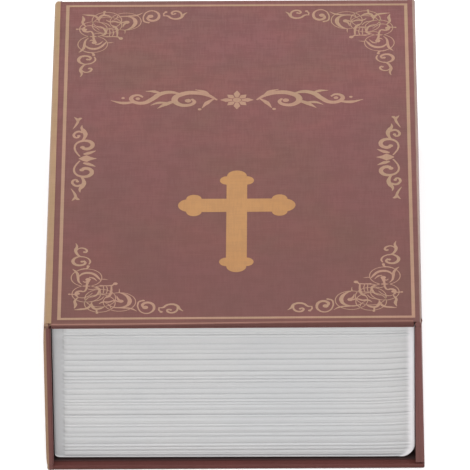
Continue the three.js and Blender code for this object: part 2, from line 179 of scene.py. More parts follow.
# %% Starting and finishing a piece
def added(operator, **settings):
    """Runs an operator that adds an object, with nothing else selected, and gives that object."""
    bpy.ops.object.select_all(action="DESELECT")
    operator(**settings)
    return bpy.context.object


def settled(piece):
    """Brings the active piece's place, turn and scale into its mesh."""
    bpy.ops.object.transform_apply(location=True, rotation=True, scale=True)
    return piece


def box_piece(low, high):
    """A box between two corners, as the start of a piece."""
    low, high = Vector(low), Vector(high)
    place, size = (low + high) / 2, high - low
    return settled(added(bpy.ops.mesh.primitive_cube_add, size=1, location=place, scale=size))


def modified(piece, kind, **settings):
    """Adds a modifier, sets it and applies it."""
    only(piece)
    modifier = piece.modifiers.new(kind.title(), kind)
    for setting, value in settings.items():
        setattr(modifier, setting, value)
    bpy.ops.object.modifier_apply(modifier=modifier.name)


def combined(piece, parts, operation):
    """Adds parts to a piece, or cuts them from it, and removes them."""
    for part in parts:
        modified(piece, "BOOLEAN", object=part, operation=operation, solver="EXACT")
        bpy.data.objects.remove(part)


def finished(piece, name, material, body=None, smooth_angle=30):
    """Names a piece, smooths it, and gives it its material and the body that it rides on."""
    only(piece)
    settled(piece)
    bpy.ops.object.shade_smooth_by_angle(angle=math.radians(smooth_angle))
    piece.name = piece.data.name = name
    piece.data.materials.clear()
    piece.data.materials.append(material)
    if body:
        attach(piece, body)
    print(f"{name}: {len(piece.data.polygons)} faces")
    return piece


def stand_in(piece, node_name, name, material, smooth_angle=30):
    """Finishes a piece that takes a CAD node's place, on the node's own body."""
    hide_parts(node_name)
    return finished(piece, name, material, frame["nodes"][node_name]["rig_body"], smooth_angle)


# %% [markdown]
# ## Helpers for materials
#
# A material is a small network. To keep each one readable, a node is placed with its inputs in one call,
# where an input is either a plain value or another node's output.


# %% Placing nodes
def feed(tree, made, inputs):
    """Gives each named input of a node its value, or links it to another node's output."""
    for key, value in inputs.items():
        if isinstance(value, bpy.types.NodeSocket):
            tree.links.new(value, made.inputs[key])
        else:
            made.inputs[key].default_value = value


def node(tree, kind, inputs=None, **settings):
    """Adds a node to a tree, with its settings and its inputs."""
    made = tree.nodes.new("ShaderNode" + kind)
    for setting, value in settings.items():
        setattr(made, setting, value)
    feed(tree, made, inputs or {})
    return made


def maths(tree, operation, *values):
    """One sum on numbers."""
    return node(tree, "Math", dict(enumerate(values)), operation=operation).outputs[0]


def vectors(tree, operation, *values):
    """One sum on places."""
    return node(tree, "VectorMath", dict(enumerate(values)), operation=operation).outputs[0]


def parted(tree, place):
    """The three numbers of a place."""
    return node(tree, "SeparateXYZ", {0: place}).outputs


def noise_tone(tree, place, scale, detail, **inputs):
    """Smooth noise, about 0.5 on average."""
    return node(tree, "TexNoise", {"Vector": place, "Scale": scale, "Detail": detail, **inputs}).outputs[0]


def ranged(tree, value, low, high, to_low=0.0, to_high=1.0):
    """A value brought from one range to another, smoothly at both ends."""
    inputs = {"Value": value, "From Min": low, "From Max": high, "To Min": to_low, "To Max": to_high}
    return node(tree, "MapRange", inputs, interpolation_type="SMOOTHSTEP").outputs["Result"]


def blended(tree, share, first, second):
    """A mix of two colours by a share that changes over the surface."""
    return node(tree, "Mix", {0: share, 6: first, 7: second}, data_type="RGBA").outputs[2]


def layered(tree, colour, *layers):
    """A colour with others laid over it. Each layer is a changing share, its strength and its colour."""
    for share, strength, over in layers:
        colour = blended(tree, maths(tree, "MULTIPLY", share, strength), colour, over)
    return colour


def rgb(red, green, blue):
    """A colour as a screen shows it, 0 to 255, brought to the linear values that a shader takes."""
    shares = [value / 255 for value in (red, green, blue)]
    linear = [s / 12.92 if s <= 0.04045 else ((s + 0.055) / 1.055) ** 2.4 for s in shares]
    return (*linear, 1.0)


# %% Starting and ending a material
def effect(name, inputs, outputs):
    """An empty node group for an effect that several materials share. It always takes the place."""
    made = bpy.data.node_groups.new(name, "ShaderNodeTree")
    for label, value in {"Place": (0, 0, 0), **inputs}.items():
        kind = "Vector" if isinstance(value, tuple) else "Float"
        socket = made.interface.new_socket(name=label, in_out="INPUT", socket_type="NodeSocket" + kind)
        socket.default_value = value
    for label in outputs:
        made.interface.new_socket(name=label, in_out="OUTPUT", socket_type="NodeSocketFloat")
    return made, made.nodes.new("NodeGroupInput").outputs, made.nodes.new("NodeGroupOutput")


def use_effect(tree, group, place, **inputs):
    """Places an effect in a material."""
    return node(tree, "Group", {"Place": place, **inputs}, node_tree=group).outputs


def new_material(name, bends=False):
    """A material with its shader, and the place on the piece, which is a stored one if the piece bends."""
    made = bpy.data.materials.new(name)
    made.use_nodes = True
    tree = made.node_tree
    if bends:
        place = node(tree, "Attribute", attribute_name="rest_place").outputs["Vector"]
    else:
        place = node(tree, "TexCoord").outputs["Object"]
    return made, tree, tree.nodes["Principled BSDF"], place


def surfaced(tree, shader, colour, tone, smooth, rough, height, depth, strength=1.0):
    """Ends a material with its colour, a roughness that follows a tone, and a relief from a height."""
    relief = node(tree, "Bump", {"Height": height, "Distance": depth, "Strength": strength})
    roughness = ranged(tree, tone, 0.0, 1.0, smooth, rough)
    feed(tree, shader, {"Base Color": colour, "Roughness": roughness, "Normal": relief.outputs["Normal"]})


print("helpers ready")

# %% [markdown]
# ## Effects that several finishes share
#
# Cloudy tone is the slow change of colour in a print or a casting. Weave is the thread of book cloth, which
# the cover paper has printed on it. Edge wear finds a box's edges from the place alone, so that it stays
# right in an export. Grain is the fine unevenness of plastic, paint and paper. Brushing is the line left by
# an abrasive belt.

# %% Cloudy tone
clouds, entry, leave = effect("cloudy tone", {"Size": 0.03, "Offset": 0.0}, ["Tone"])
shifted = vectors(clouds, "ADD", entry["Place"], entry["Offset"])
slow = noise_tone(clouds, shifted, maths(clouds, "DIVIDE", 1.0, entry["Size"]), 3.0, Roughness=0.55)
feed(clouds, leave, {"Tone": ranged(clouds, slow, 0.32, 0.68)})

# %% Weave
weave, entry, leave = effect("weave", {"Thread": 0.0004}, ["Tone", "Height"])
thread_length_share = 14.0
fine = maths(weave, "DIVIDE", 1.0, entry["Thread"])
coarse = maths(weave, "DIVIDE", fine, thread_length_share)
crossed = 0.0
for direction in range(3):
    scales = [fine if axis == direction else coarse for axis in range(3)]
    stretch = node(weave, "CombineXYZ", dict(enumerate(scales))).outputs[0]
    threads = noise_tone(weave, vectors(weave, "MULTIPLY", entry["Place"], stretch), 1.0, 2.0)
    crossed = maths(weave, "ADD", crossed, threads)
feed(weave, leave, {"Tone": ranged(weave, crossed, 1.25, 1.75), "Height": ranged(weave, crossed, 1.15, 1.85)})

# %% Edge wear
box_inputs = {"Middle": (0, 0, 0), "Reach": (1, 1, 1), "Width": 0.0005, "Raggedness": 1.0}
wear, entry, leave = effect("edge wear", box_inputs, ["Mask"])
from_middle = vectors(wear, "ABSOLUTE", vectors(wear, "SUBTRACT", entry["Place"], entry["Middle"]))
to_face = parted(wear, vectors(wear, "SUBTRACT", entry["Reach"], from_middle))
smaller = maths(wear, "MINIMUM", to_face[0], to_face[1])
larger = maths(wear, "MAXIMUM", to_face[0], to_face[1])
to_edge = maths(wear, "MAXIMUM", smaller, maths(wear, "MINIMUM", larger, to_face[2]))
ragged = maths(wear, "SUBTRACT", noise_tone(wear, entry["Place"], 260.0, 4.0), 0.5)
ragged = maths(wear, "MULTIPLY", maths(wear, "MULTIPLY", ragged, entry["Raggedness"]), 3.0)
share = maths(wear, "ADD", maths(wear, "DIVIDE", to_edge, entry["Width"]), ragged)
feed(wear, leave, {"Mask": ranged(wear, share, 0.0, 1.0, 1.0, 0.0)})

# %% Grain
grain, entry, leave = effect("grain", {"Size": 0.0005}, ["Tone", "Height"])
scale = maths(grain, "DIVIDE", 1.0, entry["Size"])
pebbles = node(grain, "TexVoronoi", {"Vector": entry["Place"], "Scale": scale}, feature="SMOOTH_F1")
speckle = noise_tone(grain, entry["Place"], scale, 4.0)
feed(grain, leave, {"Tone": ranged(grain, speckle, 0.35, 0.65), "Height": pebbles.outputs["Distance"]})

# %% Brushing
brushing, entry, leave = effect("brushing", {"Stretch": (8000, 120, 8000)}, ["Tone", "Height"])
lines = noise_tone(brushing, vectors(brushing, "MULTIPLY", entry["Place"], entry["Stretch"]), 1.0, 3.0)
feed(brushing, leave, {"Tone": ranged(brushing, lines, 0.3, 0.7), "Height": lines})
print("effects:", ", ".join(group.name for group in (clouds, weave, wear, grain, brushing)))

# %% [markdown]
# ## The cover paper and its print
#
# The covers are wrapped in laminated paper, printed a mottled maroon with the thread of cloth in it, and with
# gold-brown ornament. The real ornament is a flat print. A mask in the shader could draw it, but thin raised
# shapes keep crisp edges at every distance and stay in the mesh, so only its colour is a material.
#
# Paper that bends at a crease changes its place when the cover opens. There the pattern reads a stored copy
# of the place at rest, so that it doesn't slide.

# %% Printed papers
# Some colours here are painted light: the two darkest paint shade and contact shadow, the maroon shade colour
# also paints shade towards the tail, and the pale edge colour is partly a painted highlight.
maroon_red, maroon_brown, maroon_violet = rgb(139, 83, 79), rgb(127, 83, 75), rgb(129, 77, 82)
maroon_deep_and_shade, maroon_thread, paper_core = rgb(98, 66, 60), rgb(99, 62, 62), rgb(176, 140, 122)
painted_shade_dark, contact_shadow_dark, folded_gilt = rgb(64, 19, 14), rgb(30, 14, 13), rgb(146, 117, 92)
edge_brown, worn_and_highlight_pale, ink_thread = rgb(108, 70, 54), rgb(168, 124, 108), rgb(120, 84, 60)
thread_width = 0.42 * mm
case_low, case_high = (Vector(corner) for corner in cad_box)
case_middle, case_half = (case_high + case_low) / 2, (case_high - case_low) / 2
cover_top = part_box("front_cover_paper")[1].z
print("cover's top:", round(cover_top / mm, 2), "mm")

# %% Painted contact shadow and shade
contact_shadow_fade, contact_shadow_heights, contact_shadow_strength = (0.1 * mm, 1.2 * mm), (1.3 * mm, 1.5 * mm), 0.85


def painted_contact_shadow(tree, place):
    """Painted contact shadow round the page block's foot on the back cover: 1 at the block, 0 a millimetre
    off.
    """
    low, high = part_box("page_block")
    middle, half = (low + high) / 2, (high - low) / 2
    x, y, z = parted(tree, place)
    off_middle = maths(tree, "ABSOLUTE", maths(tree, "SUBTRACT", x, middle.x))
    across = maths(tree, "SUBTRACT", off_middle, half.x)
    along = maths(tree, "SUBTRACT", maths(tree, "ABSOLUTE", y), half.y)
    near = ranged(tree, maths(tree, "MAXIMUM", across, along), *contact_shadow_fade, contact_shadow_strength, 0.0)
    return maths(tree, "MULTIPLY", near, ranged(tree, z, *contact_shadow_heights))


def shaded_towards_tail(tree, colour, y, strength):
    """A colour with painted shade that grows darker from the head to the tail."""
    share = ranged(tree, y, case_middle.y - case_half.y, case_middle.y + case_half.y, strength, 0.0)
    return blended(tree, share, colour, maroon_deep_and_shade)


# %% Maroon paper
def mottled_maroon(tree, place):
    """The printed maroon: slow clouds of red, brown and violet, threads, and pale wear on the outer edges."""
    red_or_brown = use_effect(tree, clouds, place, Size=0.024)["Tone"]
    to_violet = use_effect(tree, clouds, place, Size=0.036, Offset=0.7)["Tone"]
    small = use_effect(tree, clouds, place, Size=0.006, Offset=1.9)["Tone"]
    threads = use_effect(tree, weave, place, Thread=thread_width)
    worn = use_effect(tree, wear, place, Middle=case_middle, Reach=case_half, Width=0.4 * mm, Raggedness=1.6)
    colour = layered(
        tree,
        blended(tree, red_or_brown, maroon_red, maroon_brown),
        (to_violet, 0.5, maroon_violet),
        (small, 0.14, maroon_deep_and_shade),
        (threads["Tone"], 0.2, maroon_thread),
        (worn["Mask"], 0.14, paper_core),
    )
    return colour, threads


# %% Painted shade and highlight at the front cover's edge
# Each pair is where a change of colour starts and ends. The line's climb goes with its reach along the edge.
line_reach, line_climb = (-50 * mm, 46 * mm), (-0.32 * mm, 0.6 * mm)
line_fade, line_strength = (0.06 * mm, 0.28 * mm), 0.62
turned_fade, under_fade, edge_shade = (-0.75 * mm, -0.35 * mm), (0.85 * mm, 1.05 * mm), 0.66
brown_fade, brown_strength = (0.5 * mm, 2.6 * mm), 0.3


def edge_shade_and_highlight(tree, colour, x, drop, inward):
    """The front cover's edge at head and tail: browner over the round, then a pale line that is partly worn
    paper and partly painted highlight, then painted shade below the line and on the lower part of the end
    face. The line climbs a little from the spine to the fore edge."""
    round_edge = maths(tree, "SUBTRACT", inward, drop)
    line = ranged(tree, x, *line_reach, *line_climb)
    off_line = maths(tree, "SUBTRACT", round_edge, line)
    turned = ranged(tree, off_line, *turned_fade, edge_shade, 0.0)
    under = ranged(tree, drop, *under_fade, 0.0, edge_shade)
    pale = ranged(tree, maths(tree, "ABSOLUTE", off_line), *line_fade, line_strength, 0.0)
    colour = blended(tree, ranged(tree, round_edge, *brown_fade, brown_strength, 0.0), colour, edge_brown)
    colour = blended(tree, maths(tree, "MAXIMUM", turned, under), colour, painted_shade_dark)
    return blended(tree, pale, colour, worn_and_highlight_pale)


# %% Cover paper
end_face, gilt_face, gilt_fade, gilt_strength = (0.45 * mm, 0.65 * mm), (0.4 * mm, 0.6 * mm), 0.25 * mm, 0.85
tail_shade, turned_shade, half_fade = 0.54, 0.57, 0.2 * mm
plain_gloss, contact_shaded_gloss = 0.3, 0.15
paper_sheen, paper_relief = (0.46, 0.56), 0.02 * mm


def cover_paper(name, shade=0.0, dark_below=None, end_shade=0.0, gilt_end=None, edge_painted=False, contact_shaded=False,
                bends=False):
    """Laminated maroon paper, with painted shade that grows towards the tail. shade paints shade over it all,
    dark_below paints shade under a height, and end_shade paints shade on the head and tail faces. gilt_end
    is the x up to which the gold of the spine's edge is folded round those faces. The flag for the front
    cover's edges adds painted shade and a pale line that is partly wear and partly painted highlight. The
    flag for the back cover, where the pages are stuck, makes it duller and adds painted contact shadow round
    the block's foot."""
    made, tree, shader, place = new_material(name, bends)
    shader.inputs["Specular IOR Level"].default_value = contact_shaded_gloss if contact_shaded else plain_gloss
    colour, threads = mottled_maroon(tree, place)
    x, y, z = parted(tree, place)
    inward = maths(tree, "SUBTRACT", case_half.y, maths(tree, "ABSOLUTE", y))
    colour = shaded_towards_tail(tree, colour, y, tail_shade)
    if shade:
        colour = blended(tree, shade, colour, painted_shade_dark)
    if end_shade:
        at_end = ranged(tree, inward, *end_face, end_shade, 0.0)
        colour = blended(tree, at_end, colour, painted_shade_dark)
    if gilt_end is not None:
        outer = ranged(tree, x, gilt_end, gilt_end + gilt_fade, 1.0, 0.0)
        at_end = ranged(tree, inward, *gilt_face, gilt_strength, 0.0)
        colour = layered(tree, colour, (outer, at_end, folded_gilt))
    if dark_below is not None:
        turned = ranged(tree, z, dark_below - half_fade, dark_below + half_fade, turned_shade, 0.0)
        colour = blended(tree, turned, colour, painted_shade_dark)
    if contact_shaded:
        colour = blended(tree, painted_contact_shadow(tree, place), colour, contact_shadow_dark)
    if edge_painted:
        colour = edge_shade_and_highlight(tree, colour, x, maths(tree, "SUBTRACT", cover_top, z), inward)
    surfaced(tree, shader, colour, threads["Tone"], *paper_sheen, threads["Height"], paper_relief)
    return made


# %% Gilt ink
ink_tail_shade, thread_strength = 0.14, 0.16
ink_sheen, ink_relief = (0.42, 0.5), 0.01 * mm


def gilt_print(name, light, deep, bends=False):
    """Gold-brown ink. It lies on the same threads as the paper round it."""
    made, tree, shader, place = new_material(name, bends)
    cloud = use_effect(tree, clouds, place, Size=0.018, Offset=3.1)["Tone"]
    threads = use_effect(tree, weave, place, Thread=thread_width)
    colour = blended(tree, cloud, light, deep)
    # The ink gets the same painted shade towards the tail.
    colour = shaded_towards_tail(tree, colour, parted(tree, place)[1], ink_tail_shade)
    colour = layered(tree, colour, (threads["Tone"], thread_strength, ink_thread))
    surfaced(tree, shader, colour, cloud, *ink_sheen, threads["Height"], ink_relief)
    return made


# %% Every paper and ink
roll_dark_below = cover_top - 0.95 * mm
# Painted shade: all over the back cover, the hems and the flap's pads, on the end faces of spine, flap and
# roll, and on the roll's lower part. The back cover also gets painted contact shadow, and the front cover
# painted shade and a painted highlight at its edges.
paper_front = cover_paper("cover_paper_front", edge_painted=True)
paper_back = cover_paper("cover_paper_back", dark_below=cover_top, contact_shaded=True)
paper_spine = cover_paper("cover_paper_spine", end_shade=0.4, gilt_end=-57.65 * mm)
paper_flap = cover_paper("cover_paper_flap", end_shade=0.26)
paper_hem = cover_paper("cover_paper_hem", shade=0.6)
paper_roll = cover_paper("cover_paper_roll", end_shade=0.7, gilt_end=-56.9 * mm, dark_below=roll_dark_below)
paper_flap_pad = cover_paper("cover_paper_flap_pad", shade=0.3)
paper_bent = cover_paper("cover_paper_bent", bends=True)
paper_crease_end = cover_paper("cover_paper_crease_end", gilt_end=-56.0 * mm)
ink_lines = gilt_print("ink_lines", rgb(174, 139, 110), rgb(180, 137, 115))
ink_band = gilt_print("ink_band", rgb(170, 137, 98), rgb(176, 140, 108), bends=True)
# This pale ink paints a highlight along the flap's fold.
fold_highlight_ink = gilt_print("fold_highlight_ink", rgb(163, 133, 120), rgb(153, 124, 111), bends=True)
ink_cross = gilt_print("ink_cross", rgb(188, 134, 76), rgb(192, 140, 85))
print("printed papers ready")

# %% [markdown]
# ## The other finishes
#
# Each is plain to look at, and each needs a little unevenness to look real: a slow change of tone, a fine
# relief, and a roughness that isn't the same all over.


# %% Lining paper, board and paint
def plain_skin(name, colours, specks, cloud_size, grain_size, sheen, relief, cloudy_sheen=False, contact_shaded=False):
    """A dull skin: two colours in slow clouds, and specks of a third, given as strength and colour. sheen is
    the lowest and highest roughness, and relief its depth and strength. cloudy_sheen lets the clouds set the
    roughness, not the specks. The last flag adds painted contact shadow round the page block."""
    made, tree, shader, place = new_material(name)
    cloud = use_effect(tree, clouds, place, Size=cloud_size)["Tone"]
    fine = use_effect(tree, grain, place, Size=grain_size)
    colour = layered(tree, blended(tree, cloud, *colours), (fine["Tone"], *specks))
    if contact_shaded:
        colour = blended(tree, painted_contact_shadow(tree, place), colour, contact_shadow_dark)
    surfaced(tree, shader, colour, cloud if cloudy_sheen else fine["Tone"], *sheen, fine["Height"], *relief)
    return made


lining_look = {
    "colours": (rgb(98, 58, 55), rgb(88, 52, 51)),
    "specks": (0.25, rgb(118, 76, 70)),
    "cloud_size": 0.05,
    "grain_size": 0.0004,
    "sheen": (0.7, 0.85),
    "relief": (0.03 * mm, 0.6),
}
lining = plain_skin("lining_paper", **lining_look)
# The back lining gets painted contact shadow round the page block's foot.
lining_contact_shaded = plain_skin("lining_paper_contact_shaded", contact_shaded=True, **lining_look)
board_colours, board_flecks = (rgb(150, 142, 130), rgb(138, 130, 120)), (0.4, rgb(104, 98, 90))
board = plain_skin("grey_board", board_colours, board_flecks, 0.02, 0.0009, (0.85, 0.95), (0.05 * mm, 1.0))
coat_colours, coat_pebbles = (rgb(44, 46, 50), rgb(38, 40, 43)), (0.3, rgb(60, 62, 66))
coat = plain_skin(
    "powder_coat", coat_colours, coat_pebbles, 0.04, 0.0007, (0.44, 0.56), (0.09 * mm, 0.7), cloudy_sheen=True
)

# %% Page plastic
under_cover_span = (46.0 * mm, 48.6 * mm)
plastic_light, plastic_deep, plastic_speck = rgb(191, 190, 190), rgb(187, 187, 188), rgb(176, 176, 177)
plastic_painted_light, rim_painted_highlight = rgb(204, 204, 204), rgb(232, 230, 232)
groove_shade_grey, foot_shade = rgb(128, 130, 134), rgb(44, 26, 25)
speck_strength, groove_shade_strength = 0.1, 0.42
plastic_sheen, plastic_relief = (0.5, 0.62), (0.02 * mm, 0.5)


def page_plastic():
    """Moulded off-white plastic, with painted light on its top rows under the cover's edge. The mesh stores
    where painted shade darkens the gaps and the smooth column, where a painted highlight brightens the smooth
    rim by the fore edge, and where painted shade darkens the block's foot."""
    made, tree, shader, place = new_material("page_plastic")
    cloud = use_effect(tree, clouds, place, Size=0.03)["Tone"]
    fine = use_effect(tree, grain, place, Size=0.0006)
    names = ("groove", "rim", "foot")
    groove, rim, foot = (node(tree, "Attribute", attribute_name=name).outputs["Fac"] for name in names)
    colour = blended(tree, cloud, plastic_light, plastic_deep)
    colour = layered(tree, colour, (fine["Tone"], speck_strength, plastic_speck))
    # Painted light brightens the top rows, which the cover's overhang shades.
    colour = blended(tree, ranged(tree, parted(tree, place)[2], *under_cover_span), colour, plastic_painted_light)
    # Painted highlight on the smooth rim by the fore edge.
    colour = blended(tree, rim, colour, rim_painted_highlight)
    # Painted shade in the gaps between bundles and over the smooth column.
    colour = layered(tree, colour, (groove, groove_shade_strength, groove_shade_grey))
    # Painted shade at the block's foot.
    colour = blended(tree, foot, colour, foot_shade)
    surfaced(tree, shader, colour, fine["Tone"], *plastic_sheen, fine["Height"], *plastic_relief)
    return made


plastic = page_plastic()

# %% Metals
line_dark_strength, brushed_relief = 0.25, 0.004 * mm


def metal(name, light, dark, smooth, rough, stretch, tarnish=0.02):
    """A bare or plated metal, brushed along one way, with patches of duller skin."""
    made, tree, shader, place = new_material(name)
    shader.inputs["Metallic"].default_value = 1.0
    line = use_effect(tree, brushing, place, Stretch=stretch)
    patch = use_effect(tree, clouds, place, Size=tarnish)["Tone"]
    colour = layered(tree, blended(tree, patch, light, dark), (line["Tone"], line_dark_strength, dark))
    surfaced(tree, shader, colour, line["Tone"], smooth, rough, line["Height"], brushed_relief)
    return made


steel_light, steel_dark = rgb(196, 198, 201), rgb(168, 170, 174)
zinc_light, zinc_dark = rgb(190, 194, 196), rgb(160, 162, 158)
chrome_light, chrome_dark = rgb(222, 223, 225), rgb(205, 206, 209)
nickel_light, nickel_dark = rgb(206, 203, 194), rgb(182, 179, 170)
hinge_metal = metal("brushed_steel", steel_light, steel_dark, 0.26, 0.4, (8000, 120, 8000))
zinc_plate = metal("zinc_plate", zinc_light, zinc_dark, 0.3, 0.5, (900, 700, 900), tarnish=0.006)
chrome_plate = metal("chrome_plate", chrome_light, chrome_dark, 0.07, 0.16, (500, 500, 90))
nickel_plate = metal("nickel_plate", nickel_light, nickel_dark, 0.18, 0.3, (600, 600, 600))
print("finishes ready")

# %% [markdown]
# ## Softened copies of the frame's pieces
#
# The frame's solids have knife edges. Real sheet, board and paper have small rounds that catch the light. So
# each such node gets a copy with its loose triangles merged, and a bevel on its sharp edges, and the copy
# stands for the node. A live modifier on the node would do for a render, but loose triangles can't be
# bevelled.

# %% Softening
same_point, flat_turn = 0.002 * mm, 0.5


def copy_of(node_name):
    """A merged copy of a CAD node's mesh, free of its parent."""
    piece = bpy.data.objects.new(node_name + "_copy", frame["nodes"][node_name].data.copy())
    bpy.context.scene.collection.objects.link(piece)
    only(piece)
    bpy.ops.mesh.customdata_custom_splitnormals_clear()
    everything(piece)
    bpy.ops.mesh.remove_doubles(threshold=same_point)
    bpy.ops.mesh.dissolve_limited(angle_limit=math.radians(flat_turn))
    leave_editing()
    return piece


def bevelled(piece, radius, least_turn):
    """Rounds a piece's edges that turn by more than some degrees."""
    limit = {"limit_method": "ANGLE", "angle_limit": math.radians(least_turn)}
    modified(piece, "BEVEL", width=radius, segments=3, **limit)


def refinish(node_name, material):
    """Keeps a CAD node and gives it a material."""
    slots = frame["nodes"][node_name].data.materials
    slots.clear()
    slots.append(material)


for panel in ("back", "spine", "front", "flap"):
    refinish(f"{panel}_board", board)
    refinish(f"{panel}_lining", lining)
refinish("back_lining", lining_contact_shaded)
refinish("base_crease", paper_spine)
refinish("flap_crease", paper_flap)
for end in ("tail", "head"):
    refinish(f"flap_magnet_{end}", nickel_plate)
    refinish(f"block_magnet_{end}", nickel_plate)
for node_name, name, radius, material, slot in (
    ("steel_box", "box_tray", 0.35, coat, "coated_steel"),
    ("steel_lid", "box_lid", 0.3, coat, "coated_steel"),
    ("strike_bracket", "strike", 0.2, zinc_plate, "zinc_steel"),
    ("box_hinge_leaf", "hinge_leaf_box", 0.15, hinge_metal, "hinge_steel"),
    ("lid_hinge_leaf", "hinge_leaf_lid", 0.15, hinge_metal, "hinge_steel"),
    ("lid_hinge_pin", "hinge_pin", 0.12, hinge_metal, "hinge_steel"),
    ("lock_barrel", "lock_body", 0.12, chrome_plate, "lock_chrome"),
    ("lock_plug", "lock_core", 0.1, chrome_plate, "lock_chrome"),
    ("lock_washer", "lock_ring", 0.1, zinc_plate, "zinc_steel"),
    ("lock_nut", "lock_hexagon", 0.2, zinc_plate, "zinc_steel"),
    ("lock_cam", "lock_tongue", 0.15, zinc_plate, "zinc_steel"),
    ("cam_screw", "tongue_screw", 0.1, zinc_plate, "zinc_steel"),
):
    soft = copy_of(node_name)
    bevelled(soft, radius * mm, least_turn=40)
    stand_in(soft, node_name, name, material)

# %% [markdown]
# ## The wrapped covers
#
# Printed paper is drawn round the long edges of each board and glued down, so the edges at the head and the
# tail are small rounds. Only those edges are rounded: at a crease the panel has to meet the fold without a
# step.


# %% Covers
end_round = 0.42 * mm
spine_corner_round = 1.0 * mm
bulge_band = 1.2 * mm
spine_bulge_shares = (
    (0.03, 0.16), (0.1, 0.25), (0.3, 0.27), (0.5, 0.28), (0.7, 0.27), (0.9, 0.25), (0.97, 0.16)
)
front_low, front_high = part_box("front_cover_paper")
spine_low, spine_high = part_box("spine_cover_paper")
tail, head = front_low.y, front_high.y
touch = 0.01 * mm


def rounded_ends(piece):
    """Rounds the long edges of a cover at the head and the tail."""
    pick(piece, "EDGE", lambda place: min(abs(place.y - tail), abs(place.y - head)) < touch)
    bpy.ops.mesh.bevel(offset=end_round, segments=4, affect="EDGES", clamp_overlap=True)
    leave_editing()
    return piece


def bulged(piece):
    """Cuts the spine's paper across at some heights, and moves each cut of its outer face out a little."""
    tall = spine_high.z - spine_low.z
    cuts = [(spine_low.z + share * tall, bulge) for share, bulge in spine_bulge_shares]
    for cut, _ in cuts:
        everything(piece)
        bpy.ops.mesh.bisect(plane_co=(0, 0, cut), plane_no=(0, 0, 1))
    outer = spine_low.x + bulge_band
    for cut, bulge in cuts:
        pick(piece, "VERT", lambda place: abs(place.z - cut) < touch and place.x < outer)
        bpy.ops.transform.translate(value=(-bulge * mm, 0, 0))
    leave_editing()


for panel, material in (("front", paper_front), ("back", paper_back)):
    paper = rounded_ends(copy_of(panel + "_cover_paper"))
    stand_in(paper, panel + "_cover_paper", panel + "_paper", material)
paper = copy_of("spine_cover_paper")
pick(paper, "EDGE", lambda place: abs(place.x - spine_low.x) < touch and abs(place.y - head) < touch)
bpy.ops.mesh.bevel(offset=spine_corner_round, segments=6, affect="EDGES")
bulged(rounded_ends(paper))
stand_in(paper, "spine_cover_paper", "spine_paper", paper_spine)
paper = rounded_ends(copy_of("flap_cover_paper"))
stand_in(paper, "flap_cover_paper", "flap_paper", paper_flap)

# %% [markdown]
# Paper is folded in at every corner of a cover, and turned in round each board's ends. That makes a soft hem
# under the front cover's ends and inside the spine's, and a pad at each end of the flap, which fills the
# wedge between the leaning flap and the pages. Beside each crease the fold closes the slit. All are plain
# blocks, moved to the surfaces beside them and then rounded.

# %% Folded-in paper
lining_low, lining_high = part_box("flap_lining")
flap_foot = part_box("flap_cover_paper")[0].z
pages_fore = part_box("page_block")[1].x


def folded_block(low, high, name, material, body, radius, shape=None):
    """A block of folded paper with small rounds. shape moves its corners before they are rounded."""
    piece = box_piece(low, high)
    if shape:
        for corner in piece.data.vertices:
            shape(corner.co)
    modified(piece, "BEVEL", width=radius, segments=3)
    return finished(piece, name, material, body)


def pad_shape(place):
    """Gives the pad the lean of the pages inside and of the flap outside."""
    at_foot = place.z < 20 * mm
    if place.x < pages_fore + 0.8 * mm:
        place.x = pages_fore + (0.55 if at_foot else 0.3) * mm
    else:
        place.x = (lining_high.x if at_foot else lining_low.x) + 0.35 * mm


pad_xs, pad_zs = (pages_fore, pages_fore + mm), (flap_foot, lining_high.z - 0.05 * mm)
front_hem_xs = (front_low.x + 0.2 * mm, front_high.x - 0.1 * mm)
front_hem_zs = (front_low.z - 0.5 * mm, front_low.z + 0.1 * mm)
spine_hem_xs = (spine_high.x - 0.1 * mm, spine_high.x + 0.45 * mm)
spine_hem_zs = (spine_low.z, spine_high.z - 0.05 * mm)
crease_end_xs, crease_end_zs = (-56.29 * mm, -56.07 * mm), (cover_top - 0.85 * mm, cover_top - 0.04 * mm)
# Each block: its name, its ends along x, how far in from the cover's end it starts and stops in millimetres,
# its foot and top, its material and body, its small rounds, and what moves its corners.
end_blocks = (
    ("flap_pad", pad_xs, (0.12, 2.5), pad_zs, paper_flap_pad, "flap", 0.12 * mm, pad_shape),
    ("front_hem", front_hem_xs, (0.1, 2.7), front_hem_zs, paper_hem, "front_cover", 0.2 * mm),
    ("spine_hem", spine_hem_xs, (0.1, 2.7), spine_hem_zs, paper_hem, "case", 0.12 * mm),
    ("crease_end", crease_end_xs, (0.03, 1.5), crease_end_zs, paper_crease_end, "front_cover", 0.04 * mm),
)
for end, inward, word in ((tail, 1, "tail"), (head, -1, "head")):
    for name, xs, depths, zs, *finish in end_blocks:
        near, far = sorted(end + inward * depth * mm for depth in depths)
        folded_block((xs[0], near, zs[0]), (xs[1], far, zs[1]), f"{name}_{word}", *finish)

# %% Slits beside the creases
roll_low, roll_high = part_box("base_crease")
fold_low, fold_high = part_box("flap_crease")
slit_inset, head_inset = 0.06 * mm, 0.9 * mm
slit_overlap, crease_overlap, slit_round = 0.1 * mm, 0.01 * mm, 0.03 * mm
lower_fold_half = 0.3 * mm
slit_tail = tail + slit_inset
slit_low = (roll_low.x + slit_inset, slit_tail, roll_high.z - slit_overlap)
slit_high = (roll_high.x - slit_inset, head - head_inset, spine_low.z + slit_overlap)
folded_block(slit_low, slit_high, "slit_base_spine", paper_spine, "case", slit_round)
slit_low = (roll_low.x + slit_inset, slit_tail, spine_high.z - slit_overlap)
slit_high = (roll_high.x - slit_inset, head - head_inset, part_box("spine_crease")[0].z + crease_overlap)
folded_block(slit_low, slit_high, "slit_top_spine", paper_spine, "case", slit_round)
slit_low = (fold_low.x + 0.3 * mm, slit_tail, lining_high.z - slit_overlap)
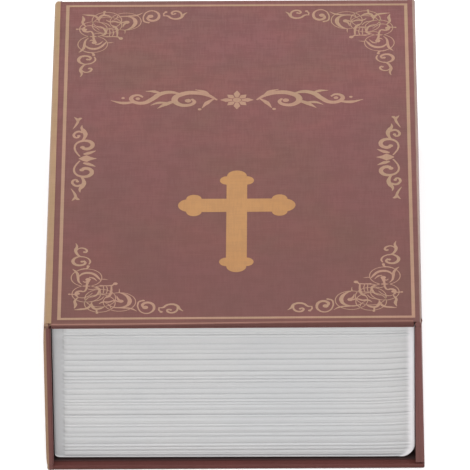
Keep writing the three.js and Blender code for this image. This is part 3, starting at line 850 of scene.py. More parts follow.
slit_high = (fold_high.x - slit_inset, head - slit_inset, fold_low.z + crease_overlap)
folded_block(slit_low, slit_high, "slit_flap", paper_flap, "flap", slit_round)
slit_low = (roll_high.x - lower_fold_half, roll_low.y + slit_inset, roll_low.z + 0.02 * mm)
slit_high = (roll_high.x + lower_fold_half, roll_high.y - slit_inset, roll_high.z - 0.06 * mm)
folded_block(slit_low, slit_high, "lower_fold", paper_back, "case", 0.05 * mm)

# %% Pinched paper at the flap's corner
# At the tail end of the flap's crease the folded paper stands out in a small fold of its own.
tuck_place = (fold_high.x - 0.05 * mm, tail + 2.6 * mm, fold_low.z + 0.5 * mm)
tuck_half_sizes = (0.5, 1.3, 0.8)
ripple_rate, ripple_share = 900, 0.12
ball_settings = {"segments": 24, "ring_count": 14, "radius": mm, "location": tuck_place}
tuck = added(bpy.ops.mesh.primitive_uv_sphere_add, **ball_settings)
tuck.scale = tuck_half_sizes
settled(tuck)
for vertex in tuck.data.vertices:
    ripple = noise.noise(vertex.co * ripple_rate) * ripple_share * mm
    vertex.co += vertex.normal * ripple
# The tuck takes the hems' paper, which is painted with shade all over.
finished(tuck, "corner_tuck", paper_hem, "flap", 60)

# %% [markdown]
# ## Paper that bends at the creases
#
# Over each crease the paper is a quarter round between two panels, and it has to bend as the cover opens. A
# strip is laid round the fold, row by row, and drawn on over the panel. A plain cylinder would do while the
# book is shut, but it would turn with one panel and leave the other.


# %% Bending strips
strip_thickness = 0.03 * mm
strip_columns, strip_rows = 20, 110
corner_radius = 1.3 * mm


def corner_limit(x):
    """How far to the head a piece at the spine may reach, where the cover's corner is rounded."""
    inside = max(0.0, min(corner_radius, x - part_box("spine_crease")[0].x))
    return head - corner_radius + math.sqrt(corner_radius**2 - (corner_radius - inside) ** 2)


def fold_place(along, axis, side, radius):
    """A point of the outer skin. along counts from the foot of the quarter round, up it and over it."""
    quarter = radius * math.pi / 2
    turn = max(0.0, min(along, quarter)) / radius
    up = min(along, 0.0)
    over = max(along - quarter, 0.0)
    return axis.x + side * radius * math.cos(turn) - side * over, axis.z + radius * math.sin(turn) + up


def keep_rest_place(piece):
    """Stores where each vertex is at rest, for materials on paper that bends."""
    stored = piece.data.attributes.new("rest_place", "FLOAT_VECTOR", "POINT")
    for vertex in piece.data.vertices:
        stored.data[vertex.index].vector = vertex.co


def fold_sheet(crease, name, proud, span, material, inset, tail_extra=0.0, lean=0.0):
    """A sheet laid over a crease, over a span measured round the fold, and at the tail further by tail_extra.
    proud is how far its middle lies outside the roll. lean is how much further round the tail's end lies than
    the head's. It stops short of the head and the tail by inset."""
    at_spine = crease == "spine_crease"
    side = -1 if at_spine else 1
    low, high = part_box(crease)
    axis = (low + high) / 2
    radius = (high.x - low.x) / 2 + proud
    length = head - tail - 2 * inset
    grid = {"x_subdivisions": strip_columns, "y_subdivisions": strip_rows, "size": 1}
    piece = added(bpy.ops.mesh.primitive_grid_add, **grid)
    for vertex in piece.data.vertices:
        reach = span[1] + tail_extra * (0.5 - vertex.co.y)
        along = span[0] + (vertex.co.x + 0.5) * (reach - span[0]) - lean * vertex.co.y
        x, z = fold_place(along, axis, side, radius)
        y = vertex.co.y * length
        if at_spine and y > 0:
            y *= (corner_limit(x) - inset) / (length / 2)
        vertex.co = (x, y, z)
    turned_out(piece)
    modified(piece, "SOLIDIFY", thickness=strip_thickness, offset=0.0)
    finished(piece, name, material)
    keep_rest_place(piece)
    if at_spine:
        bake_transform(piece)
    else:
        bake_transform(piece)
    return piece


# %% The spine's roll and the four strips
roll = copy_of("spine_crease")
for vertex in roll.data.vertices:
    vertex.co.y = min(vertex.co.y, corner_limit(vertex.co.x))
stand_in(roll, "spine_crease", "spine_roll", paper_roll)
crease_quarter = 0.92 * mm * math.pi / 2
paper_span = (-1.4 * mm, crease_quarter + 1.4 * mm)
band_span = (0.45 * mm, crease_quarter + 0.95 * mm)
line_span = (0.3 * mm, 1.14 * mm)
under_print, print_proud = 0.02 * mm, 0.045 * mm
sheet_inset, print_inset = 0.1 * mm, 0.15 * mm
fold = fold_sheet("spine_crease", "spine_fold_paper", under_print, paper_span, paper_bent, sheet_inset)
fold = fold_sheet("flap_crease", "flap_fold_paper", under_print, paper_span, paper_bent, sheet_inset)
band_growth, line_lean = 0.48 * mm, -0.65 * mm
fold_sheet("spine_crease", "spine_fold_band", print_proud, band_span, ink_band, print_inset, band_growth)
# The flap's pale fold line is a painted highlight.
fold_sheet("flap_crease", "flap_fold_highlight", print_proud, line_span, fold_highlight_ink, print_inset, lean=line_lean)

# %% [markdown]
# ## The page block
#
# The block is one plastic moulding whose sides imitate the edges of pages: rounded bundles of leaves with
# dark gaps between, no two alike. The relief could be a bump in the shader, but it shows along the block's
# outline and in its shadows, so it is real here. A flat grid is wrapped round the block like a belt, each of
# its rows at the height of a gap or a bundle. The belt's upper edge is then drawn inwards for the rim and
# down for the opening.

# %% Bundles of pages
block_low, block_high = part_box("page_block")
block_high.x += 0.22 * mm
block_low.x += 0.12 * mm
page_random = random.Random(11)
bundle_sizes, gap_depths = (1.1, 1.5, 1.8, 2.0, 2.4), (0.15, 0.22, 0.3, 0.38)
face_depths, line_depths = (0.0, 0.14), (0.02, 0.06)
least_bundle, leaf_size, half_gap, line_half = 1.2 * mm, 0.75 * mm, 0.2 * mm, 0.1 * mm
crown_shares, crown_depth = (0.0, 0.09, 0.25, 0.5, 0.75, 0.91, 1.0), 0.14
foot_rows = ((0.3, 0.8), (0.36, 0.3), (0.46, 0.1), (0.7, 0.0))
top_edge, foot_depth, least_row = 0.3 * mm, 0.8 * mm, 0.03 * mm


def page_rows(low, high):
    """Rows up a page face, each with its height, its depth into the face, and how dark its groove is."""
    made = []
    height = low
    while height < high:
        thickness = page_random.choice(bundle_sizes) * mm * page_random.uniform(0.9, 1.1)
        if high - height - thickness < least_bundle:
            thickness = high - height
        face = page_random.uniform(*face_depths) * mm
        gap = page_random.choice(gap_depths) * mm
        made.append((height, face + gap, gap / (gap_depths[-1] * mm)))
        for share in crown_shares:
            place = height + half_gap + share * (thickness - 2 * half_gap)
            crown = abs(2 * share - 1)
            made.append((place, face + crown**2.5 * crown_depth * mm, 0.2 * crown**6))
        leaves = int(thickness / leaf_size) - 1
        for leaf in range(leaves):
            line = height + (leaf + 1 + page_random.uniform(-0.25, 0.25)) * thickness / (leaves + 1)
            depth = page_random.uniform(*line_depths) * mm
            made += [(line - line_half, face, 0.0), (line, face + depth, 0.25), (line + line_half, face, 0.0)]
        height += thickness
    return sorted(made)


def spaced_rows(low, high):
    """The rows with those too close together dropped, the block's top edge rounded, and its foot set back."""
    kept = [(low, foot_depth, 0.0)] + [(low + up * mm, back * mm, 0.0) for up, back in foot_rows]
    for row in page_rows(kept[-1][0] + top_edge, high - 2 * top_edge):
        if row[0] - kept[-1][0] > least_row:
            kept.append(row)
    kept += [(high - top_edge, 0.0, 0.0), (high - top_edge / 4, top_edge / 3, 0.0), (high, top_edge, 0.0)]
    return kept


rows = spaced_rows(block_low.z, block_high.z)
edge_rows = rows[: len(foot_rows) + 1] + rows[-3:]
print(len(rows), "rows up the pages")

# %% Columns round the block
smooth_column = 3.5 * mm
fore_rim = 1.9 * mm
spine_corner, fore_corner = 0.5 * mm, 0.4 * mm
column_edge, lift_reach, line_lift = 0.12 * mm, 12.5 * mm, 0.9 * mm
column_count, page_count, fading_count, fore_count, spine_count = 4, 38, 26, 56, 12
rim_steps = (0.0, 0.6, 1.1, 1.6)


def corner_columns(centre, radius, turn, steps, column):
    """Columns round one upright corner, from a starting turn through a quarter."""
    made = []
    for step in range(1, steps):
        angle = turn + step / steps * math.pi / 2
        normal = Vector((math.cos(angle), math.sin(angle), 0))
        made.append((centre + normal * radius, normal, 0.0, 0.0, column))
    return made


def between(first, last, count):
    """Evenly spaced values, both ends among them."""
    return [first + (last - first) * step / (count - 1) for step in range(count)]


# %% Columns along the faces
def end_columns():
    """Columns along the tail face from the spine to the fore edge: x, relief, lift of the lines, and how far
    it belongs to the smooth column."""
    start, stop = block_low.x + spine_corner, block_high.x - fore_corner
    pages = block_low.x + smooth_column
    fade = block_high.x - fore_rim - 1.6 * mm
    made = [(x, 0.0, 0.0, 1.0) for x in between(start, pages - column_edge, column_count)]
    made += [(pages, 0.6, 0.0, 0.5), (pages + column_edge, 1.0, 0.0, 0.0)]
    evenly = between(pages + 1.2 * mm, fade - 14 * mm, page_count)
    made += [(x, 1.0, 0.0, 0.0) for x in evenly]
    for x in between(fade - lift_reach, stop, fading_count):
        lift = max(0.0, (x - fade + lift_reach) / (stop - fade + lift_reach)) ** 2 * line_lift
        relief = min(1.0, max(0.0, (stop - 0.7 * mm - x) / (1.7 * mm)))
        made.append((x, relief * relief * (3 - 2 * relief), lift, 0.0))
    return made


def fore_columns():
    """Columns along the fore face from tail to head: y and relief."""
    start, stop = block_low.y + fore_corner, block_high.y - fore_corner
    rim = [start + step * mm for step in rim_steps]
    made = [(y, min(1.0, (y - start) / (1.5 * mm))) for y in rim]
    made += [(y, 1.0) for y in between(start + 2.5 * mm, stop - 2.5 * mm, fore_count)]
    return made + [(start + stop - y, relief) for y, relief in reversed(made[: len(rim)])]


def block_columns():
    """Every column round the block, anticlockwise from the spine's tail corner: its foot, the way that it
    faces, relief, lift, and share of smooth column."""
    low, high = block_low, block_high
    ends = end_columns()
    columns = [(Vector((x, low.y, 0)), Vector((0, -1, 0)), r, lift, c) for x, r, lift, c in ends]
    fore_centre = Vector((high.x - fore_corner, low.y + fore_corner, 0))
    columns += corner_columns(fore_centre, fore_corner, -math.pi / 2, 6, 0.0)
    columns += [(Vector((high.x, y, 0)), Vector((1, 0, 0)), relief, 0.0, 0.0) for y, relief in fore_columns()]
    head_centre = Vector((high.x - fore_corner, high.y - fore_corner, 0))
    columns += corner_columns(head_centre, fore_corner, 0.0, 6, 0.0)
    columns += [(Vector((x, high.y, 0)), Vector((0, 1, 0)), r, lift, c) for x, r, lift, c in reversed(ends)]
    back_centre = Vector((low.x + spine_corner, high.y - spine_corner, 0))
    columns += corner_columns(back_centre, spine_corner, math.pi / 2, 3, 1.0)
    spine_ys = between(high.y - spine_corner, low.y + spine_corner, spine_count)
    columns += [(Vector((low.x, y, 0)), Vector((-1, 0, 0)), 0.0, 0.0, 0.0) for y in spine_ys]
    tail_centre = Vector((low.x + spine_corner, low.y + spine_corner, 0))
    return columns + corner_columns(tail_centre, spine_corner, math.pi, 3, 1.0)


columns = block_columns()
print(len(columns), "columns round the block")

# %% Wrapping the belt
lower_round = 4.8 * mm
column_recess = 0.25 * mm
foot_lift, foot_corner_lift, foot_reach, foot_corner = 0.45 * mm, 1.0 * mm, 3.0 * mm, 1.4 * mm
block_lean, fore_stretch = 0.2 * mm, 25 * mm
column_top_shift, column_foot_shift, column_fade = 0.15 * mm, 0.45 * mm, 3.0 * mm
slow_rate, row_rate = 45, 900
slow_relief, slow_dark = 0.15, 0.3
column_shade = 0.66


def lift_at_foot(x, rise):
    """How far the foot is raised: a little towards the spine, and more round the spine's corner."""
    slant = foot_lift * (1 - (x - block_low.x) / (block_high.x - block_low.x))
    corner = foot_corner_lift * max(0.0, 1 - (x - block_low.x) / foot_corner) ** 2
    return (slant + corner) * max(0.0, 1 - rise / foot_reach) if rise > 0 else 0.0


def page_place(column, row):
    """Where a crossing of a column and a row lies, how dark its groove is, and whether it is on the rim."""
    base, normal, relief, lift, smooth = column
    height, depth, groove = row
    low, high = block_low.z, block_high.z
    share = (height - low) / (high - low)
    height += lift * math.sin(math.pi * share) ** 0.6 if 0 < share < 1 else 0.0
    slow = noise.noise(Vector((base.x * slow_rate, base.y * slow_rate, height * row_rate)))
    # dark is the share of painted shade in the gaps between bundles and over the smooth column.
    if row in edge_rows:
        dark = 0.0
    else:
        depth = depth * (relief * (1 + slow_relief * slow)) + smooth * column_recess
        dark = groove * relief * (1 + slow_dark * slow) + column_shade * smooth
    place = base - normal * depth
    near_fore = max(0.0, 1 - (block_high.x - base.x) / fore_stretch)
    place.x += block_lean * (1 - share) * near_fore
    if abs(normal.y) > 0.9:
        near_pages = max(0.0, 1 - abs(base.x - block_low.x - smooth_column) / column_fade)
        place.x += near_pages * (column_top_shift * share - column_foot_shift * (1 - share))
    rise = max(0.0, height - low - foot_rows[1][0] * mm)
    if rise < lower_round:
        inset = lower_round - math.sqrt(lower_round**2 - (lower_round - rise) ** 2)
        near = min(1.0, max(0.0, 1 - (block_high.x - base.x) / (4 * lower_round)))
        place.x -= inset * near
    height += lift_at_foot(base.x, row[0] - low)
    # rim is the share of painted highlight on the smooth rim by the fore edge.
    rim = (1 - relief) * (1 - smooth) if base.x > 0 else 0.0
    return Vector((place.x, place.y, height)), max(0.0, min(1.0, dark)), rim


# %% The belt itself
belt_weld = 0.0005 * mm
cells = {"x_subdivisions": len(columns), "y_subdivisions": len(rows) - 1}
belt = added(bpy.ops.mesh.primitive_grid_add, size=1, **cells)
grooves, rims, feet = [], [], []
for vertex in belt.data.vertices:
    column = round((vertex.co.x + 0.5) * len(columns)) % len(columns)
    row = round((vertex.co.y + 0.5) * (len(rows) - 1))
    vertex.co, groove, rim = page_place(columns[column], rows[row])
    grooves.append(groove)
    rims.append(rim)
    # The lowest two rows take the foot's painted shade.
    feet.append(1.0 if row < 2 else 0.0)
for name, values in (("groove", grooves), ("rim", rims), ("foot", feet)):
    belt.data.attributes.new(name, "FLOAT", "POINT").data.foreach_set("value", values)
everything(belt)
bpy.ops.mesh.remove_doubles(threshold=belt_weld)
leave_editing()
print("belt:", len(belt.data.polygons), "faces")

# %% Rim and opening
tray_low, tray_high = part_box("steel_box")
pin_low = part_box("lid_hinge_pin")[0]
tray_gap, hinge_room = 0.3 * mm, 1.8 * mm
same_height = 0.001 * mm
opening_steps = ((0.7, 0.0), (0.4, 0.0), (0.12, 0.12), (0.0, 0.4))


def opening_edge(gap):
    """The low and high corners of the opening, made larger by a gap."""
    low = Vector((pin_low.x - hinge_room - gap, tray_low.y - tray_gap - gap, 0))
    high = Vector((tray_high.x + tray_gap + gap, tray_high.y + tray_gap + gap, 0))
    return low, high


def draw_on(piece, old, new, height):
    """Extrudes the selected open edge, and brings it from one rectangle to another and to a height."""
    bpy.ops.mesh.extrude_region_move(TRANSFORM_OT_translate={"value": (0, 0, 0)})
    leave_editing()
    for vertex in piece.data.vertices:
        if vertex.select:
            share_x = (vertex.co.x - old[0].x) / (old[1].x - old[0].x)
            share_y = (vertex.co.y - old[0].y) / (old[1].y - old[0].y)
            x = new[0].x + share_x * (new[1].x - new[0].x)
            y = new[0].y + share_y * (new[1].y - new[0].y)
            vertex.co = (x, y, height)
    bpy.ops.object.mode_set(mode="EDIT")


deck = block_high.z
belt_vertices = len(belt.data.vertices)
pick(belt, "EDGE", lambda place: place.z > deck - same_height)
inset = Vector((0.5, 0.5, 0)) * mm
edges = [(block_low, block_high), (block_low + inset, block_high - inset)]
edges += [opening_edge(gap * mm) for gap, _ in opening_steps] + [opening_edge(0.0)]
heights = [deck] + [deck - depth * mm for _, depth in opening_steps] + [block_low.z]
for old, new, height in zip(edges, edges[1:], heights):
    draw_on(belt, old, new, height)
pick(belt, "EDGE", lambda place: place.z < block_low.z + same_height)
bpy.ops.mesh.bridge_edge_loops()
turned_out(belt)
rim_values = belt.data.attributes["rim"].data
for vertex in belt.data.vertices[belt_vertices:]:
    rim_values[vertex.index].value = 0.0
stand_in(belt, "page_block", "pages", plastic, 50)

# %% [markdown]
# ## Screws with a cross recess
#
# The box is held to the page block by four screws. Their heads are inside the box, each with a cross recess
# for the driver. The recess is cut by a Boolean with two crossed bars, as a punch would press it into a soft
# blank.


# %% Screws
bar_long, bar_wide, bar_deep = 1.7, 0.45, 0.8
head_round = 0.25 * mm


def recessed_screw(node_name, name):
    """A copy of a screw node with its head softened and a cross cut in it, along Y."""
    piece = copy_of(node_name)
    low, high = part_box(node_name)
    face = high.y if low.y < 0 else low.y
    centre = Vector(((low.x + high.x) / 2, face, (low.z + high.z) / 2))
    bevelled(piece, head_round, least_turn=50)
    for wide, tall in ((bar_long, bar_wide), (bar_wide, bar_long)):
        reach = Vector((wide, bar_deep, tall)) * mm
        combined(piece, [box_piece(centre - reach, centre + reach)], "DIFFERENCE")
    return stand_in(piece, node_name, name, zinc_plate)


for end in ("tail", "head"):
    for place in (1, 2):
        recessed_screw(f"box_screw_{end}_{place}", f"screw_{end}_{place}")

# %% [markdown]
# ## Gilt ornament
#
# The print is traditional bookbinder's ornament: scrolls that grow from each corner and from the middle of
# each side. Every scroll is a stroke whose width swells and thins as a pen's would. A curve does that well:
# its radius is set at each of its points, and a flat profile is drawn along it. A corner is described once,
# and the other three are laid out from it.

# %% Strokes
print_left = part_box("spine_crease")[0].x
ball_steps = 8


def on_cover(u, y):
    """A place on the cover in metres, from millimetres off the spine's outer edge and the head's edge."""
    return Vector((print_left + u * mm, head - y * mm, 0))


def ring(centre, radius, half_width, count=25):
    """A thin ring, as a stroke once round."""
    turns = [math.radians(360 * (step / (count - 1))) for step in range(count)]
    points = [(centre[0] + radius * math.cos(turn), centre[1] + radius * math.sin(turn)) for turn in turns]
    return points, [half_width] * count


def ball(centre, radius):
    """A round dot, as a stroke as wide as it is long."""
    turns = [math.pi * step / ball_steps for step in range(ball_steps + 1)]
    points = [(centre[0] - radius * math.cos(turn), centre[1]) for turn in turns]
    return points, [max(0.02 * radius, radius * math.sin(turn)) for turn in turns]


def tapered(points, *widths):
    """A stroke whose half-widths are spread evenly along its points."""
    made = []
    for step in range(len(points)):
        share = step / (len(points) - 1) * (len(widths) - 1)
        before = min(int(share), len(widths) - 2)
        made.append(widths[before] + (widths[before + 1] - widths[before]) * (share - before))
    return points, made


def moved(strokes, place):
    """Strokes with each of their points brought to another place."""
    return [([place(a, b) for a, b in points], widths) for points, widths in strokes]


# %% Drawing strokes
ink_share = 0.05
print_lift = 0.004 * mm
stroke_detail = 5
stroke_weld = 0.0002 * mm


def stroke_profile():
    """A low closed outline, one wide to each side, that is drawn along every stroke."""
    made = added(bpy.ops.curve.primitive_bezier_circle_add, radius=1)
    made.name = "stroke_profile"
    made.data.splines.clear()
    outline = made.data.splines.new("POLY")
    corners = ((-1, 0), (1, 0), (0.93, ink_share), (-0.93, ink_share))
    outline.points.add(len(corners) - 1)
    for point, (across, up) in zip(outline.points, corners):
        point.co = (across, up, 0, 1)
    outline.use_cyclic_u = True
    return made


profile = stroke_profile()


def drawn(strokes):
    """One flat piece from many strokes. Each is points in metres, and half-widths in millimetres."""
    piece = added(bpy.ops.curve.primitive_bezier_curve_add)
    curve = piece.data
    curve.splines.clear()
    for points, widths in strokes:
        spline = curve.splines.new("BEZIER")
        spline.bezier_points.add(len(points) - 1)
        for bezier, place, width in zip(spline.bezier_points, points, widths):
            bezier.co = (place[0], place[1], 0)
            bezier.radius = width * mm
            bezier.handle_left_type = bezier.handle_right_type = "AUTO"
    curve.dimensions = "3D"
    curve.twist_mode = "Z_UP"
    curve.resolution_u = stroke_detail
    curve.bevel_mode = "OBJECT"
    curve.bevel_object = profile
    curve.use_fill_caps = True
    only(piece)
    bpy.ops.object.convert(target="MESH")
    turned_out(piece, stroke_weld)
    return bpy.context.object


def printed(strokes, name):
    """Draws strokes given in millimetres on the cover, and lays them on its top."""
    piece = drawn(moved(strokes, on_cover))
    piece.location = (0, 0, cover_top + print_lift)
    return finished(piece, name, ink_lines, "front_cover")


# %% Corner ornament
# A corner is two arms, the leaves and bars where they meet, and thin rings that all are wound through. Places
# are in millimetres along the head or tail, and in from it.
rings = (((5.4, 19.4), 4.7), ((15.7, 6.3), 4.95), ((5.5, 10.7), 4.4), ((9.7, 5.6), 4.7), ((9.8, 8.4), 4.7))
thin_rings = [ring(centre, radius, 0.15) for centre, radius in rings]
level_arm = [
    tapered([(35.25, 1.2), (34.3, 2.2), (33.3, 4.2), (31.9, 4.95), (30.2, 4.5), (29.0, 3.2), (27.6, 3.2)],
            0.1, 0.34, 0.46, 0.46, 0.4, 0.36, 0.14),
    tapered([(27.9, 3.2), (27.8, 1.9), (28.4, 1.0)], 0.2, 0.26, 0.3),
    ball((28.5, 0.9), 0.5),
    tapered([(33.4, 3.6), (33.3, 1.6), (31.9, 0.4), (30.6, 0.9), (30.5, 2.1), (31.3, 2.2)],
            0.2, 0.34, 0.42, 0.38, 0.32, 0.26),
    ball((31.4, 1.9), 0.42),
    tapered([(22.8, 6.9), (21.8, 6.5), (21.3, 4.8), (21.5, 2.8), (22.4, 0.9), (24.0, 0.1), (25.7, 1.1),
             (26.3, 3.5), (25.5, 5.4), (24.0, 5.9), (22.8, 4.9), (22.8, 3.6)],
            0.34, 0.3, 0.24, 0.22, 0.24, 0.28, 0.34, 0.42, 0.5, 0.54, 0.5, 0.34),
    ball((23.6, 3.3), 0.92),
    ball((23.0, 7.0), 0.42),
    tapered([(15.5, 11.3), (17.1, 10.4), (18.5, 8.4), (18.8, 6.2), (17.9, 4.2), (16.0, 3.3), (13.9, 3.5),
             (12.6, 4.6)],
            0.1, 0.36, 0.62, 0.66, 0.44, 0.3, 0.22, 0.1),
    tapered([(13.9, 3.4), (17.0, 3.1), (19.3, 2.7), (21.1, 1.3)], 0.2, 0.34, 0.36, 0.08),
    ball((16.1, 6.7), 0.85),
    tapered([(16.1, 6.6), (15.2, 8.0), (14.8, 9.6)], 0.5, 0.34, 0.08),
    tapered([(9.4, 5.3), (10.6, 6.3), (12.4, 6.3), (14.0, 7.0), (15.6, 6.5)], 0.1, 0.36, 0.36, 0.3, 0.4),
    tapered([(15.5, 13.4), (15.6, 12.2), (15.5, 11.2)], 0.06, 0.16, 0.2),
]
upright_arm = [
    tapered([(1.8, 38.1), (2.2, 36.4), (1.8, 34.4), (2.2, 32.5), (3.2, 31.0), (4.8, 30.5), (6.0, 29.4),
             (6.4, 27.9), (6.0, 26.6)],
            0.08, 0.36, 0.5, 0.42, 0.32, 0.26, 0.26, 0.3, 0.2),
    tapered([(2.1, 34.2), (2.9, 35.3), (4.1, 35.4), (5.2, 34.3), (5.1, 33.3), (4.5, 33.0)],
            0.2, 0.26, 0.3, 0.36, 0.34, 0.3),
    ball((4.5, 33.3), 0.42),
    tapered([(3.3, 31.0), (1.9, 30.2), (1.1, 28.8), (1.4, 27.2), (2.5, 26.2), (4.0, 26.3), (4.9, 27.3),
             (4.4, 28.6)],
            0.26, 0.4, 0.5, 0.52, 0.5, 0.46, 0.4, 0.3),
    ball((3.9, 28.1), 0.52),
    ball((5.8, 25.6), 0.5),
    tapered([(5.8, 25.6), (5.5, 24.5), (4.0, 24.1), (2.6, 23.4)], 0.4, 0.3, 0.22, 0.12),
    tapered([(3.0, 20.0), (4.3, 21.6), (6.0, 22.0), (7.6, 21.3), (9.0, 19.4), (9.8, 17.9)],
            0.2, 0.44, 0.55, 0.5, 0.36, 0.1),
    tapered([(1.0, 24.1), (1.9, 23.0), (2.6, 21.4), (2.8, 19.3), (3.1, 17.2), (4.1, 15.6)],
            0.08, 0.36, 0.46, 0.42, 0.3, 0.1),
    ball((5.9, 18.4), 0.84),
    tapered([(6.2, 19.6), (7.4, 19.2), (8.6, 17.6)], 0.2, 0.34, 0.08),
    tapered([(5.9, 17.6), (5.0, 17.0), (4.3, 17.6)], 0.4, 0.3, 0.08),
    tapered([(6.0, 17.8), (5.6, 15.8), (5.4, 13.4), (4.7, 12.0), (3.5, 12.2), (2.5, 11.6), (2.4, 10.0),
             (3.2, 8.8)],
            0.5, 0.36, 0.3, 0.3, 0.4, 0.46, 0.4, 0.1),
    tapered([(9.9, 18.6), (11.0, 18.5), (12.0, 18.3)], 0.2, 0.2, 0.06),
]
knot = [
    tapered([(1.9, 2.9), (2.3, 4.9), (2.0, 6.9), (2.9, 8.8)], 0.1, 0.52, 0.4, 0.2),
    ball((2.9, 10.9), 0.62),
    tapered([(0.2, 10.6), (1.2, 10.5), (2.4, 10.4)], 0.2, 0.26, 0.3),
    ball((0.25, 10.6), 0.38),
    tapered([(1.9, 2.2), (3.8, 2.5), (5.8, 3.0), (6.9, 4.6), (7.3, 6.4)], 0.1, 0.4, 0.46, 0.4, 0.1),
    ball((7.1, 4.7), 0.58),
    tapered([(7.1, 4.6), (8.3, 2.7), (9.8, 2.8), (11.3, 3.9)], 0.5, 0.5, 0.42, 0.1),
    ball((8.9, 0.5), 0.44),
    tapered([(8.9, 0.5), (8.7, 2.4)], 0.2, 0.34),
    tapered([(8.4, 14.6), (9.9, 15.0), (11.7, 15.0), (13.6, 15.2)], 0.1, 0.28, 0.24, 0.28),
    ball((9.9, 15.0), 0.42),
    tapered([(13.3, 15.2), (13.9, 15.8)], 0.24, 0.34),
    ball((14.3, 16.1), 0.7),
    tapered([(13.1, 14.8), (13.1, 12.2), (12.4, 9.4), (11.3, 8.4)], 0.24, 0.36, 0.46, 0.1),
    tapered([(10.6, 14.9), (10.8, 12.8), (10.6, 10.9)], 0.13, 0.17, 0.12),
    tapered([(11.6, 14.9), (11.9, 12.8), (11.6, 10.9)], 0.13, 0.17, 0.12),
    tapered([(9.4, 10.8), (11.2, 10.6), (12.9, 10.8)], 0.14, 0.2, 0.14),
    tapered([(8.3, 14.7), (9.4, 13.2), (9.2, 11.3), (8.0, 9.4), (6.2, 8.8)], 0.14, 0.42, 0.36, 0.24, 0.08),
    tapered([(5.4, 13.6), (7.0, 13.0), (8.8, 13.6)], 0.14, 0.18, 0.14),
    tapered([(10.9, 9.2), (9.8, 7.6), (8.0, 6.8), (6.6, 6.3)], 0.14, 0.2, 0.16, 0.1),
    tapered([(3.2, 8.8), (4.6, 8.6), (6.2, 9.6), (7.4, 11.2)], 0.14, 0.2, 0.16, 0.1),
    tapered([(11.4, 5.9), (12.6, 4.6), (13.2, 2.7)], 0.1, 0.16, 0.1),
]
corner_strokes = thin_rings + level_arm + upright_arm + knot
print("strokes in a corner:", len(corner_strokes))

# %% The four corners
frame_corners = {
    ("spine", "head"): (3.65, 2.5),
    ("fore", "head"): (112.6, 2.5),
    ("fore", "tail"): (113.3, 177.75),
    ("spine", "tail"): (4.05, 178.05),
}
corner_offsets = {
    ("spine", "head"): (3.4, 3.3),
    ("fore", "head"): (3.7, 3.2),
    ("fore", "tail"): (3.7, 3.2),
    ("spine", "tail"): (3.2, 3.2),
}
for (side, end), (start_u, start_y) in frame_corners.items():
    offset_u, offset_y = corner_offsets[side, end]
    inward, down = 1 if side == "spine" else -1, 1 if end == "head" else -1
    laid = moved(
        corner_strokes,
        lambda a, b: (start_u + inward * (offset_u + a), start_y + down * (offset_y + b)),
    )
    printed(laid, f"corner_{side}_{end}")

# %% Side ornament
# Half of it is described, in millimetres from its middle: in from the edge, and up.
print_centre_u, print_centre_y = 58.4, 90.1
side_start_u = 7.0
half_side = [
    tapered(
        [(2.5, 1.2), (1.6, 2.9), (0.9, 4.9), (0.8, 6.8), (1.4, 8.6), (2.8, 9.8), (4.5, 10.0), (5.8, 9.2),
         (6.35, 7.6), (5.8, 6.1), (4.5, 5.4), (3.3, 5.8)],
        0.25, 0.28, 0.31, 0.32, 0.36, 0.5, 0.68, 0.7, 0.66, 0.7, 0.8, 0.68,
    ),
    ball((3.2, 6.3), 0.78),
    tapered(
        [(3.1, 10.0), (3.8, 11.9), (4.0, 13.7), (3.4, 15.6), (2.75, 17.2), (2.9, 18.8)],
        0.34, 0.48, 0.7, 0.75, 0.42, 0.08,
    ),
    tapered(
        [(3.2, 14.6), (1.8, 15.2), (0.6, 14.1), (0.4, 12.7), (1.2, 11.7), (2.0, 12.2)],
        0.45, 0.5, 0.4, 0.42, 0.4, 0.4,
    ),
    ball((1.95, 12.7), 0.55),
    tapered([(0.0, 16.6), (0.8, 18.4), (1.35, 20.0), (1.6, 21.5)], 0.08, 0.3, 0.42, 0.4),
    tapered([(1.5, 21.2), (1.0, 22.4), (0.35, 23.3)], 0.4, 0.4, 0.08),
    tapered([(1.6, 21.4), (2.1, 22.4), (2.75, 22.7)], 0.4, 0.55, 0.25),
    tapered([(7.4, 4.4), (6.3, 3.7), (5.1, 3.0), (3.6, 2.4)], 0.12, 0.52, 0.75, 0.4),
]
side_strokes = half_side + moved(half_side, lambda s, t: (s, -t))
middle_leaf = [(7.7, 0.0), (6.0, 0.0), (4.6, 0.0), (3.4, 0.0), (2.2, 0.0)]
side_strokes.append(tapered(middle_leaf, 0.1, 0.8, 1.9, 1.2, 0.2))
for side, name in ((1, "side_spine"), (-1, "side_fore")):
    start_u = side_start_u if side > 0 else 2 * print_centre_u - side_start_u
    printed(moved(side_strokes, lambda s, t: (start_u + side * s, print_centre_y - t)), name)

# %% [markdown]
# ## The ruled frame
#
# One thin line runs round the whole print. A rectangle is inset by the line's width, its middle is deleted,
# and the ring left over is given a thickness. On the real book the print lies a little turned on the cover,
# so the right side's corners are moved to where they are seen.

# %% Frame line
line_width = 1.07 * mm
line_thickness = 0.05 * mm


def ruled_frame():
    """The four-sided ring of one line round the print."""
    piece = added(bpy.ops.mesh.primitive_plane_add, size=1)
    for vertex in piece.data.vertices:
        side = "spine" if vertex.co.x < 0 else "fore"
        end = "tail" if vertex.co.y < 0 else "head"
        vertex.co = on_cover(*frame_corners[side, end])
    everything(piece)
    bpy.ops.mesh.inset(thickness=line_width)
    bpy.ops.mesh.delete(type="FACE")
    everything(piece)
    bpy.ops.mesh.subdivide(number_cuts=12)
    bpy.ops.mesh.extrude_region_move(TRANSFORM_OT_translate={"value": (0, 0, line_thickness)})
    turned_out(piece)
    piece.location = (0, 0, cover_top)
    return finished(piece, "frame_line", ink_lines, "front_cover")


ruled_frame()

